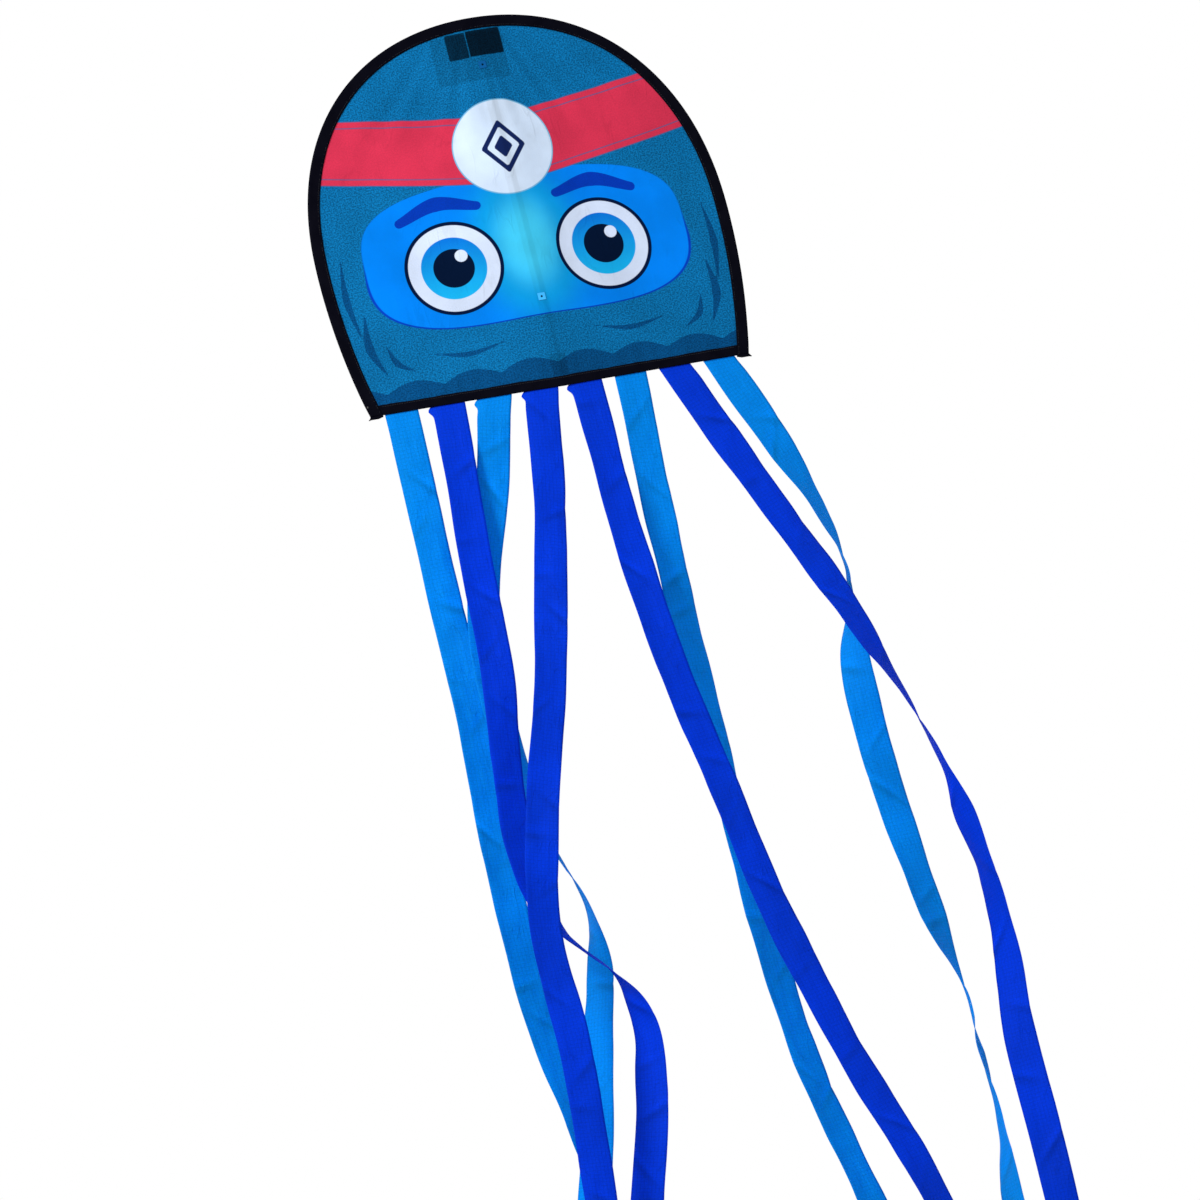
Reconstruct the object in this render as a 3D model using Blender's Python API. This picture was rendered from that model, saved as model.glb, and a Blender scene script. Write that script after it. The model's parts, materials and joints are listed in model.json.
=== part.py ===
"""Octopus kite: a printed, arched head on a spine and two bow rods, with eight streamers along its hem.

The face looks towards -Y and the spine stands along +Z. The origin is on the front of the sail at the
upper bridle point. Heights along the head are counted from the middle of the hem, and placed() moves them
to the origin. The head is drawn flat in X and Z and then swept back a little on both sides of the spine.
"""

import math

import bmesh
import bpy
import numpy as np
from mathutils import Matrix, Vector

# Head outline: an ellipse's upper half on two long side arcs, cut off by a shallow V at the hem.
HEAD_WIDTH = 0.560
SHOULDER_HEIGHT = 0.207
CROWN_HEIGHT = 0.315
CROWN_POWER = 2.25
SIDE_RADIUS = 0.890
HEM_RISE = 0.009
SWEEP_DEG = 5.0
CREASE_RADIUS = 0.030
UPPER_BRIDLE_DROP = 0.067
LOWER_BRIDLE_HEIGHT = 0.126

# Cloth and clearance
CLEARANCE = 0.0003
SAIL_THICKNESS = 0.0006
TAPE_THICKNESS = 0.0005
PATCH_THICKNESS = 0.0004
SLEEVE_WIDTH = 0.016
HEM_TAPE_WIDTH = 0.014
SEWING_GAP = 0.0012

# Rods, with the moulded caps on their ends and the ferrule that joins the two bow rods
ROD_DIAMETER = 0.0020
CAP_WALL = 0.0005
CAP_LENGTH = 0.012
FERRULE_WALL = 0.0005
FERRULE_LENGTH = 0.044
ROD_END_GAP = 0.002
BOW_ROD_END_HEIGHT = 0.006

# Pockets, patches and label on the back
SPINE_SLEEVE_WIDTH = 0.015
SPINE_SLEEVE_END_GAP = 0.003
NOSE_POCKET_SIZE = (0.046, 0.036)
NOSE_POCKET_SHIFT = 0.010
HEM_POCKET_SIZE = (0.022, 0.030)
NOSE_PATCH_SIZE = (0.096, 0.066)
NOSE_PATCH_SHIFT = -0.014
LABEL_SIZE = (0.027, 0.036)
BRIDLE_PATCH_SIZE = 0.010
BRIDLE_HOLE_DIAMETER = 0.003
CORNER_TAB_HEIGHT = 0.005
CORNER_TAB_OVERHANG = 0.003

# Streamers
STREAMER_WIDTH = 0.044
STREAMER_LENGTH = 1.450
STREAMER_THICKNESS = 0.0006
STREAMER_CORNER_GAP = 0.003
FIRST_STREAMER = 0.030
STREAMERS_A_SIDE = 4
LIGHT_STREAMERS = (1, 3, 6, 8)

# Fineness of the curved pieces
SIDE_STATIONS = 6
ARCH_STATIONS = 24
FOLD_STATIONS = 7
FERRULE_STATIONS = 7
SLEEVE_STATIONS = 9
STREAMER_STATIONS = 60
RING_SIDES = 16
CORNER_ROUNDS = 8
SMOOTH_ANGLE = 0.6
SMALL_ANGLE = 1e-4
BEND_PLANES = (0.0, 0.012, 0.024, 0.040, 0.070, 0.120, 0.190)

# Each streamer's lie, by its number from the kite's right hand to its left: rows of (share of the length
# down from the hem, metres across from its seam, metres back, degrees turned about its own length).
LIES = {
    1: ((0, 0, 0, 0), (0.14, 0.001, 0.022, 0), (0.29, 0, 0.034, 5), (0.42, -0.009, 0.040, 10),
        (0.56, -0.006, 0.050, 15), (0.66, 0.012, 0.066, 35), (0.76, 0.028, 0.082, 70),
        (0.88, 0.040, 0.086, 105), (1, 0.044, 0.086, 150)),
    2: ((0, 0, 0, 0), (0.08, -0.010, -0.008, 4), (0.16, -0.020, -0.012, 8),
        (0.26, -0.028, -0.012, 0), (0.34, -0.045, -0.014, 25), (0.42, -0.056, -0.016, 20),
        (0.47, -0.050, -0.017, 35), (0.51, -0.024, -0.017, 66), (0.555, 0.026, -0.017, 84),
        (0.60, 0.047, -0.015, 125), (0.66, 0.036, -0.013, 152), (0.78, -0.014, -0.012, 168),
        (1, -0.060, -0.008, 200)),
    3: ((0, -0.002, 0, 0), (0.08, -0.030, 0.012, 3), (0.15, -0.064, 0.024, 0), (0.22, -0.086, 0.030, 12),
        (0.31, -0.088, 0.032, 28), (0.40, -0.068, 0.038, 66), (0.475, -0.038, 0.040, 90),
        (0.53, -0.042, 0.042, 128), (0.60, -0.068, 0.042, 147), (0.68, -0.098, 0.040, 158),
        (0.78, -0.140, 0.034, 165), (1, -0.200, 0.026, 190)),
    4: ((0, -0.002, 0, 0), (0.10, -0.030, -0.022, 14), (0.20, -0.068, -0.046, 4), (0.30, -0.108, -0.058, 14),
        (0.39, -0.150, -0.064, 6), (0.50, -0.188, -0.066, 12), (0.62, -0.190, -0.066, 6),
        (0.76, -0.204, -0.064, 12), (1, -0.240, -0.056, 20)),
    5: ((0, 0, 0, 0), (0.12, -0.002, -0.014, 4), (0.24, 0.006, -0.020, 0), (0.40, 0.038, -0.022, 8),
        (0.52, 0.066, -0.020, 2), (0.63, 0.103, -0.018, 6), (0.80, 0.176, -0.016, 12),
        (1, 0.225, -0.012, 28)),
    6: ((0, 0, 0, 0), (0.14, -0.006, 0.014, 8), (0.28, -0.006, 0.024, 14), (0.45, -0.004, 0.030, 22),
        (0.58, 0, 0.030, 12), (0.68, 0.014, 0.030, 20), (0.80, 0.048, 0.028, 14), (1, 0.110, 0.024, 30)),
    7: ((0, 0, 0, 0), (0.12, 0.066, -0.006, 4), (0.24, 0.134, -0.014, 16), (0.30, 0.160, -0.020, 34),
        (0.36, 0.190, -0.022, 62), (0.42, 0.210, -0.022, 84), (0.46, 0.218, -0.020, 104),
        (0.52, 0.230, -0.018, 97), (0.58, 0.231, -0.016, 118), (0.66, 0.220, -0.014, 142),
        (0.76, 0.220, -0.012, 158), (1, 0.214, -0.008, 200)),
    8: ((0, 0, 0, 0), (0.08, 0.048, 0.010, 6), (0.15, 0.086, 0.020, 46), (0.21, 0.102, 0.028, 74),
        (0.25, 0.094, 0.032, 92), (0.29, 0.086, 0.036, 128), (0.34, 0.084, 0.040, 164),
        (0.46, 0.092, 0.042, 184), (0.55, 0.104, 0.042, 210), (0.62, 0.120, 0.042, 252),
        (0.67, 0.117, 0.040, 240), (0.74, 0.118, 0.038, 266), (0.80, 0.110, 0.036, 286),
        (1, 0.100, 0.030, 330)),
}

# Worked out from the sizes above
HALF_WIDTH = HEAD_WIDTH / 2
ROD_RADIUS = ROD_DIAMETER / 2
CAP_RADIUS = ROD_RADIUS + CLEARANCE + CAP_WALL
UPPER_BRIDLE_HEIGHT = SHOULDER_HEIGHT + CROWN_HEIGHT - UPPER_BRIDLE_DROP
MIDDLE = SAIL_THICKNESS / 2
FITTING_RADIUS = ROD_RADIUS + CLEARANCE + max(CAP_WALL, FERRULE_WALL)
SLEEVE_HALF = FITTING_RADIUS + CLEARANCE + TAPE_THICKNESS
LIP_HALF = MIDDLE + CLEARANCE + TAPE_THICKNESS
ROD_INSET = SLEEVE_HALF
SAIL_INSET = 2 * SLEEVE_HALF + CLEARANCE
PATCH_FRONT = SAIL_THICKNESS + CLEARANCE
POCKET_FRONT = PATCH_FRONT + PATCH_THICKNESS + CLEARANCE
SPINE_BACK = POCKET_FRONT + TAPE_THICKNESS + CLEARANCE + CAP_RADIUS
LEFT, RIGHT = -1, 1
TILT = math.tan(math.radians(SWEEP_DEG))


def clear_scene():
    """Empties the scene of every object."""
    for obj in list(bpy.data.objects):
        bpy.data.objects.remove(obj, do_unlink=True)


def linear(red, green, blue):
    """A display colour of 0 to 255 as Blender's linear colour."""
    return tuple((c / 255) ** 2.2 for c in (red, green, blue)) + (1.0,)


def material(name, colour, roughness, metallic=0.0):
    """A plain Principled material of one display colour."""
    made = bpy.data.materials.new(name)
    made.use_nodes = True
    shader = made.node_tree.nodes["Principled BSDF"]
    shader.inputs["Base Color"].default_value = linear(*colour)
    shader.inputs["Roughness"].default_value = roughness
    shader.inputs["Metallic"].default_value = metallic
    return made


def hem_height(x):
    """The hem rises evenly from its middle to both corners."""
    return HEM_RISE * np.abs(x) / HALF_WIDTH


def swept_back(x):
    """How far back the cloth lies: straight wings, joined by a round crease over the spine."""
    return TILT * (np.sqrt(np.square(x) + CREASE_RADIUS**2) - CREASE_RADIUS)


def placed(x, y, z):
    """A point of the flat pattern, as (across, thickness, height), where it is in the finished kite."""
    return x, y + float(swept_back(x)), z - UPPER_BRIDLE_HEIGHT


def side_x(height, inset):
    """Half the head's width at a height up to the shoulder, measured to a line inset from the edge."""
    reach = SIDE_RADIUS - inset
    return HALF_WIDTH - SIDE_RADIUS + math.sqrt(reach**2 - (SHOULDER_HEIGHT - height) ** 2)


def corner(inset):
    """Where a line inset from the side edge meets the hem."""
    height = 0.0
    for _ in range(CORNER_ROUNDS):
        height = float(hem_height(side_x(height, inset)))
    return side_x(height, inset), height


def arch_point(angle, inset):
    """A point on the crown, at an angle from straight up, moved in along the crown's normal.

    The crown is half a superellipse, an ellipse that a power over 2 makes fuller at the shoulders.
    """
    across = math.copysign(abs(math.sin(angle)) ** (2 / CROWN_POWER), angle)
    up = abs(math.cos(angle)) ** (2 / CROWN_POWER)
    slope = math.copysign(abs(across) ** (CROWN_POWER - 1), angle)
    normal = Vector((slope / HALF_WIDTH, up ** (CROWN_POWER - 1) / CROWN_HEIGHT)).normalized()
    return HALF_WIDTH * across - inset * normal.x, SHOULDER_HEIGHT + CROWN_HEIGHT * up - inset * normal.y


def height_under_crown(centre_x, width):
    """The greatest height of a level top edge that stays inside the edge sleeve over its whole width."""
    points = [arch_point(a, SLEEVE_WIDTH) for a in np.linspace(0, math.pi / 2, 4 * ARCH_STATIONS)]
    across, heights = zip(*points)
    return float(np.interp(abs(centre_x) + width / 2, across, heights)) - 2 * CLEARANCE


def side_line(inset, start_height=None):
    """Points up the right side to the shoulder, the shoulder itself left out."""
    bottom = corner(inset)[1] if start_height is None else start_height
    heights = np.linspace(bottom, SHOULDER_HEIGHT, SIDE_STATIONS + 1)[:-1]
    return [(side_x(h, inset), h) for h in heights]


def half_edge(inset, start_height=None, last_angle=0.0):
    """Points from the right corner up the side and over the crown to an angle from straight up."""
    angles = np.linspace(math.pi / 2, last_angle, ARCH_STATIONS + 1)
    return side_line(inset, start_height) + [arch_point(a, inset) for a in angles]


def whole_edge(inset):
    """Points all the way round from the right corner over the crown to the left corner."""
    right = half_edge(inset)
    return right + [(-x, z) for x, z in reversed(right[:-1])]


def finished(name, bm, made_of):
    """A mesh object with its faces pointing out, shaded smooth over its gentle edges."""
    bmesh.ops.recalc_face_normals(bm, faces=bm.faces)
    mesh = bpy.data.meshes.new(name)
    bm.to_mesh(mesh)
    bm.free()
    mesh.shade_smooth()
    mesh.set_sharp_from_angle(angle=SMOOTH_ANGLE)
    mesh.materials.append(made_of)
    obj = bpy.data.objects.new(name, mesh)
    bpy.context.scene.collection.objects.link(obj)
    return obj


def grid_solid(bm, rows, ring_closes=True):
    """Skins rows of points, each row a closed ring, and caps the first and the last ring."""
    rings = [[bm.verts.new(p) for p in row] for row in rows]
    count = len(rings[0])
    for here, there in zip(rings, rings[1:]):
        for i in range(count):
            j = (i + 1) % count
            bm.faces.new((here[i], here[j], there[j], there[i]))
    if ring_closes:
        bm.faces.new(reversed(rings[0]))
        bm.faces.new(rings[-1])
    return rings


def slab(name, outline, front, back, made_of, hole=None):
    """A flat piece of cloth: an outline in X and Z between two depths, bent with the sail."""
    bm = bmesh.new()
    face = bm.faces.new([bm.verts.new((x, front, z)) for x, z in outline])
    if hole:
        edges = list(face.edges)
        bm.faces.remove(face)
        ring = [bm.verts.new((x, front, z)) for x, z in hole]
        edges += [bm.edges.new((ring[i], ring[i - 1])) for i in range(len(ring))]
        bmesh.ops.triangle_fill(bm, edges=edges, use_beauty=True)
    grown = bmesh.ops.extrude_face_region(bm, geom=list(bm.faces))
    moved = [v for v in grown["geom"] if isinstance(v, bmesh.types.BMVert)]
    bmesh.ops.translate(bm, vec=(0, back - front, 0), verts=moved)
    bend(bm)
    return finished(name, bm, made_of)


def bend(bm):
    """Cuts a flat piece into strips and moves every point back with the swept head."""
    for x in sorted({side * plane for plane in BEND_PLANES for side in (LEFT, RIGHT)}):
        geometry = bm.verts[:] + bm.edges[:] + bm.faces[:]
        bmesh.ops.bisect_plane(bm, geom=geometry, plane_co=(x, 0, 0), plane_no=(1, 0, 0))
    for vert in bm.verts:
        vert.co = placed(*vert.co)


def box_outline(centre_x, low, width, height):
    """The four corners of an upright rectangle."""
    left, right = centre_x - width / 2, centre_x + width / 2
    return [(left, low), (right, low), (right, low + height), (left, low + height)]


def edge_profile():
    """The edge sleeve's section as (inset, thickness) points: a folded tape, round where it holds the rod."""
    turn = np.linspace(-math.pi / 2, math.pi / 2, FOLD_STATIONS)
    outer = [(SLEEVE_HALF * (1 - math.cos(a)), SLEEVE_HALF * math.sin(a)) for a in turn]
    bore = SLEEVE_HALF - TAPE_THICKNESS
    inner = [(SLEEVE_HALF - bore * math.cos(a), bore * math.sin(a)) for a in reversed(turn)]
    lip_in = LIP_HALF - TAPE_THICKNESS
    return (
        [(SLEEVE_WIDTH, -LIP_HALF)]
        + outer
        + [(SLEEVE_WIDTH, LIP_HALF), (SLEEVE_WIDTH, lip_in)]
        + inner
        + [(SLEEVE_WIDTH, -lip_in)]
    )


def edge_sleeve(made_of):
    """The tape folded over the sail's side and crown edges, with the bow rods in its fold."""
    lines = [whole_edge(inset) for inset, _ in edge_profile()]
    depths = [MIDDLE + thickness for _, thickness in edge_profile()]
    rows = [[placed(x, y, z) for (x, z), y in zip(row, depths)] for row in zip(*lines)]
    bm = bmesh.new()
    grid_solid(bm, rows)
    return finished("edge_sleeve", bm, made_of)


def hem_tape(made_of):
    """A tape folded up round the bottom of the sail, cut to meet the edge sleeve at both ends."""
    lip_in = LIP_HALF - TAPE_THICKNESS
    profile = [
        (HEM_TAPE_WIDTH, -LIP_HALF),
        (0, -LIP_HALF),
        (0, LIP_HALF),
        (HEM_TAPE_WIDTH, LIP_HALF),
        (HEM_TAPE_WIDTH, lip_in),
        (TAPE_THICKNESS, lip_in),
        (TAPE_THICKNESS, -lip_in),
        (HEM_TAPE_WIDTH, -lip_in),
    ]
    end = side_x(corner(SLEEVE_WIDTH)[1], SLEEVE_WIDTH) - CLEARANCE
    planes = [p for p in BEND_PLANES if p < end]
    across = [-p for p in reversed(planes)][:-1] + planes
    rows = []
    for x in [-end, *across, end]:
        rows.append([placed(x, MIDDLE + depth, hem_height(x) + up) for up, depth in profile])
    bm = bmesh.new()
    grid_solid(bm, rows)
    return finished("hem_tape", bm, made_of)


def sail(made_of):
    """The printed cloth, its edges held between the lips of the tapes."""
    edge = half_edge(SAIL_INSET)
    lift = TAPE_THICKNESS + CLEARANCE
    bottom_x = side_x(edge[0][1] + lift, SAIL_INSET)
    edge[0] = (bottom_x, float(hem_height(bottom_x)) + lift)
    outline = edge + [(-x, z) for x, z in reversed(edge[:-1])] + [(0.0, lift)]
    return slab("sail", outline, 0, SAIL_THICKNESS, made_of)


def rod(name, points, made_of):
    """A round rod as a bevelled curve with filled ends."""
    curve = bpy.data.curves.new(name, "CURVE")
    curve.dimensions = "3D"
    curve.bevel_depth = ROD_RADIUS
    curve.bevel_resolution = 2
    curve.use_fill_caps = True
    spline = curve.splines.new("POLY")
    spline.points.add(len(points) - 1)
    for point, place in zip(spline.points, points):
        point.co = (*place, 1)
    curve.materials.append(made_of)
    obj = bpy.data.objects.new(name, curve)
    bpy.context.scene.collection.objects.link(obj)
    return obj


def ring(centre, along, radius):
    """A circle of points round a line."""
    turn = Vector((0, 1, 0)).rotation_difference(along).to_matrix() @ Matrix.Rotation(-math.pi / 2, 3, "X")
    angles = [2 * math.pi * i / RING_SIDES for i in range(RING_SIDES)]
    return [centre + turn @ Vector((math.cos(a), math.sin(a), 0)) * radius for a in angles]


def cap(name, tip, along, made_of):
    """A moulded cup pushed over a rod's end: tip is its closed end and along points to its mouth."""
    tip, along = Vector(tip), Vector(along).normalized()
    bore = ROD_RADIUS + CLEARANCE
    steps = [(0, CAP_RADIUS), (CAP_LENGTH, CAP_RADIUS), (CAP_LENGTH, bore), (CAP_WALL, bore)]
    bm = bmesh.new()
    grid_solid(bm, [ring(tip + along * distance, along, radius) for distance, radius in steps])
    return finished(name, bm, made_of)


def bow_angle(distance):
    """The crown angle of a point a short way along the bow from the nose."""
    return math.asin((distance / (HALF_WIDTH - ROD_INSET)) ** (CROWN_POWER / 2))


def bow_point(angle):
    """A point of the bow rods' centre line on the crown."""
    x, z = arch_point(angle, ROD_INSET)
    return Vector(placed(x, MIDDLE, z))


def bow_rod(name, side, made_of):
    """One side's rod, from its cap in the corner up to the middle of the ferrule."""
    last = bow_angle(ROD_END_GAP / 2)
    flat = half_edge(ROD_INSET, BOW_ROD_END_HEIGHT + CAP_LENGTH / 2, last)
    return rod(name, [placed(side * x, MIDDLE, z) for x, z in flat], made_of)


def bow_cap(name, side, made_of):
    """The cap on a bow rod's lower end, in the corner of the sleeve."""
    ends = []
    for height in (BOW_ROD_END_HEIGHT + CAP_LENGTH / 2, BOW_ROD_END_HEIGHT + CAP_LENGTH * 2):
        ends.append(Vector(placed(side * side_x(height, ROD_INSET), MIDDLE, height)))
    along = (ends[1] - ends[0]).normalized()
    return cap(name, ends[0] - along * (CAP_WALL + CLEARANCE), along, made_of)


def ferrule(made_of):
    """A short tube, bent with the bow, that joins the two bow rods inside the sleeve at the nose."""
    inner = ROD_RADIUS + CLEARANCE
    reach = bow_angle(FERRULE_LENGTH / 2)
    angles = np.linspace(-reach, reach, FERRULE_STATIONS)
    centres = [bow_point(a) for a in angles]
    alongs = [(bow_point(a + SMALL_ANGLE) - bow_point(a - SMALL_ANGLE)).normalized() for a in angles]
    outside = [ring(c, d, inner + FERRULE_WALL) for c, d in zip(centres, alongs)]
    inside = [ring(c, d, inner) for c, d in zip(centres, alongs)]
    bm = bmesh.new()
    out_rings = grid_solid(bm, outside, ring_closes=False)
    in_rings = grid_solid(bm, inside, ring_closes=False)
    for end in (0, -1):
        for i in range(RING_SIDES):
            j = (i + 1) % RING_SIDES
            bm.faces.new((out_rings[end][i], out_rings[end][j], in_rings[end][j], in_rings[end][i]))
    return finished("nose_ferrule", bm, made_of)


def pocket(name, centre_x, low, size, opens_up, made_of):
    """A flat cloth pocket round a spine end: a box with a slot for the capped rod, shut at one end."""
    width, height = size
    slot = CAP_RADIUS + CLEARANCE
    back = SPINE_BACK + slot + TAPE_THICKNESS
    half = width / 2
    outer = [(-half, POCKET_FRONT), (half, POCKET_FRONT), (half, back - TAPE_THICKNESS), (half / 2, back)]
    outer += [(-half / 2, back), (-half, back - TAPE_THICKNESS)]
    inner = [(-slot, SPINE_BACK - slot), (slot, SPINE_BACK - slot), (slot, SPINE_BACK)]
    inner += [(slot, SPINE_BACK + slot), (-slot, SPINE_BACK + slot), (-slot, SPINE_BACK)]
    mouth, shut = (low + height, low) if opens_up else (low, low + height)
    floor = shut + TAPE_THICKNESS if opens_up else shut - TAPE_THICKNESS
    levels = [(outer, shut, centre_x), (outer, mouth, centre_x), (inner, mouth, 0), (inner, floor, 0)]
    bm = bmesh.new()
    grid_solid(bm, [[(shift + x, y, z) for x, y in section] for section, z, shift in levels])
    bend(bm)
    return finished(name, bm, made_of)


def spine_sleeve(low, high, made_of):
    """A sewn sleeve down the back of the sail: a strip on the cloth that closes round the spine rod."""
    bore, wall = ROD_RADIUS + CLEARANCE, ROD_RADIUS + CLEARANCE + TAPE_THICKNESS
    half = SPINE_SLEEVE_WIDTH / 2
    turn = np.linspace(0, math.pi, SLEEVE_STATIONS)
    hump = [(wall * math.cos(a), SPINE_BACK + wall * math.sin(a)) for a in turn]
    foot = PATCH_FRONT + TAPE_THICKNESS
    outer = [(-half, PATCH_FRONT), (half, PATCH_FRONT), (half, foot), *hump, (-half, foot)]
    circle = np.linspace(-3 * math.pi / 4, 5 * math.pi / 4, len(outer), endpoint=False)
    inner = [(bore * math.cos(a), SPINE_BACK + bore * math.sin(a)) for a in circle]
    bm = bmesh.new()
    rings = [[bm.verts.new(placed(x, y, z)) for x, y in section]
             for section, z in ((outer, low), (outer, high), (inner, high), (inner, low))]
    for here, there in zip(rings, rings[1:] + rings[:1]):
        for i in range(len(outer)):
            j = (i + 1) % len(outer)
            bm.faces.new((here[i], here[j], there[j], there[i]))
    return finished("spine_sleeve", bm, made_of)


def bridle_patch(name, height, made_of):
    """A small square on the front of the sail with the bridle line's hole through it."""
    half, hole = BRIDLE_PATCH_SIZE / 2, BRIDLE_HOLE_DIAMETER / 2
    circle = [2 * math.pi * i / RING_SIDES for i in range(RING_SIDES)]
    round_hole = [(hole * math.cos(a), height + hole * math.sin(a)) for a in circle]
    outline = box_outline(0, height - half, BRIDLE_PATCH_SIZE, BRIDLE_PATCH_SIZE)
    return slab(name, outline, -CLEARANCE - PATCH_THICKNESS, -CLEARANCE, made_of, round_hole)


def corner_tab(name, side, made_of):
    """The folded end of the tapes under a corner, standing out a little past the sleeve."""
    inner_x, outer_x = corner(SLEEVE_WIDTH)[0], corner(0)[0] + CORNER_TAB_OVERHANG
    outline = []
    corners = ((inner_x, CLEARANCE), (outer_x, CLEARANCE), (outer_x, CORNER_TAB_HEIGHT),
               (inner_x, CORNER_TAB_HEIGHT))
    for x, drop in corners:
        outline.append((side * x, float(hem_height(x)) - drop))
    return slab(name, outline, MIDDLE - SLEEVE_HALF, MIDDLE + SLEEVE_HALF, made_of)


def smooth_rows(rows, shares):
    """Reads rows of (share, values...) at other shares, along a smooth curve through every row."""
    rows = np.array(rows, float)
    at, values = rows[:, 0], rows[:, 1:]
    slopes = np.gradient(values, at, axis=0)
    index = np.clip(np.searchsorted(at, shares, side="right") - 1, 0, len(at) - 2)
    span = (at[index + 1] - at[index])[:, None]
    t = (shares - at[index])[:, None] / span
    start = values[index] * (1 + 2 * t) * (1 - t) ** 2 + slopes[index] * span * t * (1 - t) ** 2
    stop = values[index + 1] * t**2 * (3 - 2 * t) + slopes[index + 1] * span * t**2 * (t - 1)
    return start + stop


def last_streamer():
    """How far from the spine the outermost seam's middle is, so that its streamer clears the corner tab."""
    return corner(SLEEVE_WIDTH)[0] - STREAMER_CORNER_GAP - STREAMER_WIDTH / 2


def seam_x(number):
    """The middle of a streamer's seam along the hem, the streamers evenly spaced on both sides."""
    side = LEFT if number <= STREAMERS_A_SIDE else RIGHT
    from_middle = STREAMERS_A_SIDE - number if side == LEFT else number - STREAMERS_A_SIDE - 1
    places = np.linspace(FIRST_STREAMER, last_streamer(), STREAMERS_A_SIDE)
    return side * float(places[from_middle])


def seam_point(x):
    """The top edge of a streamer, just under the hem tape and behind the middle of the sail."""
    return Vector(placed(x, MIDDLE, float(hem_height(x)) - CLEARANCE))


def seam_axis(side):
    """The line that the streamers of one side swing about, pointing to +X."""
    ends = [seam_point(side * x) for x in (FIRST_STREAMER, last_streamer())]
    return ((ends[1] - ends[0]) * side).normalized()


def cut_alike(bm, rings):
    """Cuts a turned strip's two faces along the same diagonals, so that they stay a wall apart."""
    for here, there in zip(rings, rings[1:]):
        for a, b in ((here[0], there[1]), (here[3], there[2])):
            bmesh.utils.face_split(set(a.link_faces).intersection(b.link_faces).pop(), a, b)


def streamer(number, made_of):
    """A strip carried along its lie, square to its path and turned about it, its top edge along the hem."""
    x = seam_x(number)
    axis = np.array(seam_axis(LEFT if x < 0 else RIGHT))
    shares = np.linspace(0, 1, STREAMER_STATIONS + 1)
    across, back, turned = smooth_rows(LIES[number], shares).T
    path = np.stack([across, back, -STREAMER_LENGTH * shares], axis=1)
    path[:, 2] -= STREAMER_THICKNESS / 2
    along = np.gradient(path, axis=0)
    along[0] = axis * axis[2] - np.array((0, 0, 1))
    along /= np.linalg.norm(along, axis=1)[:, None]
    level = axis - along * (along @ axis)[:, None]
    level /= np.linalg.norm(level, axis=1)[:, None]
    facing = np.cross(level, along)
    angle = np.radians(turned)[:, None]
    wide = (level * np.cos(angle) + facing * np.sin(angle)) * STREAMER_WIDTH / 2
    thick = (facing * np.cos(angle) - level * np.sin(angle)) * STREAMER_THICKNESS / 2
    corners = [path - wide - thick, path + wide - thick, path + wide + thick, path - wide + thick]
    bm = bmesh.new()
    rings = grid_solid(bm, np.stack(corners, axis=1))
    cut_alike(bm, rings)
    made = finished(f"streamer_{number}", bm, made_of)
    hinge = bpy.data.objects.new(f"streamer_{number}_seam", None)
    bpy.context.scene.collection.objects.link(hinge)
    hinge.location = seam_point(x)
    made.parent = hinge
    return made


def care_label(made_of):
    """A blank label that hangs from the sleeve's seam on the back; its empty is on the seam."""
    width, height = LABEL_SIZE
    centre = NOSE_POCKET_SHIFT - NOSE_POCKET_SIZE[0] / 2 - SEWING_GAP - width / 2
    low = height_under_crown(centre, width) - PATCH_THICKNESS - height
    label = slab("care_label", box_outline(centre, low, width, height), POCKET_FRONT,
                 POCKET_FRONT + PATCH_THICKNESS, made_of)
    hinge = bpy.data.objects.new("care_label_seam", None)
    bpy.context.scene.collection.objects.link(hinge)
    hinge.location = placed(centre, POCKET_FRONT + PATCH_THICKNESS / 2, low + height)
    label.parent = hinge
    label.matrix_parent_inverse = Matrix.Translation(-hinge.location)
    return label


def spine(rod_material, cap_material, cloth, patch_cloth):
    """The spine rod with its caps, the sleeve down its length and the pocket at each end."""
    nose_high = height_under_crown(NOSE_POCKET_SHIFT, NOSE_POCKET_SIZE[0])
    nose_low = nose_high - NOSE_POCKET_SIZE[1]
    hem_low = HEM_TAPE_WIDTH + HEM_RISE * HEM_POCKET_SIZE[0] / HEAD_WIDTH + SEWING_GAP
    pocket("nose_pocket", NOSE_POCKET_SHIFT, nose_low, NOSE_POCKET_SIZE, False, cloth)
    pocket("hem_pocket", 0, hem_low, HEM_POCKET_SIZE, True, cloth)
    tip_low, tip_high = hem_low + TAPE_THICKNESS + CLEARANCE, nose_high - TAPE_THICKNESS - CLEARANCE
    cap("spine_cap_bottom", placed(0, SPINE_BACK, tip_low), (0, 0, 1), cap_material)
    cap("spine_cap_top", placed(0, SPINE_BACK, tip_high), (0, 0, -1), cap_material)
    inset = CAP_WALL + CLEARANCE
    rod("spine_rod", [placed(0, SPINE_BACK, tip_low + inset), placed(0, SPINE_BACK, tip_high - inset)],
        rod_material)
    patch_low = height_under_crown(NOSE_PATCH_SHIFT, NOSE_PATCH_SIZE[0]) - NOSE_PATCH_SIZE[1]
    slab("nose_patch", box_outline(NOSE_PATCH_SHIFT, patch_low, *NOSE_PATCH_SIZE), PATCH_FRONT,
         PATCH_FRONT + PATCH_THICKNESS, patch_cloth)
    spine_sleeve(hem_low + HEM_POCKET_SIZE[1] + SPINE_SLEEVE_END_GAP,
                 min(nose_low, patch_low) - SPINE_SLEEVE_END_GAP, patch_cloth)


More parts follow.
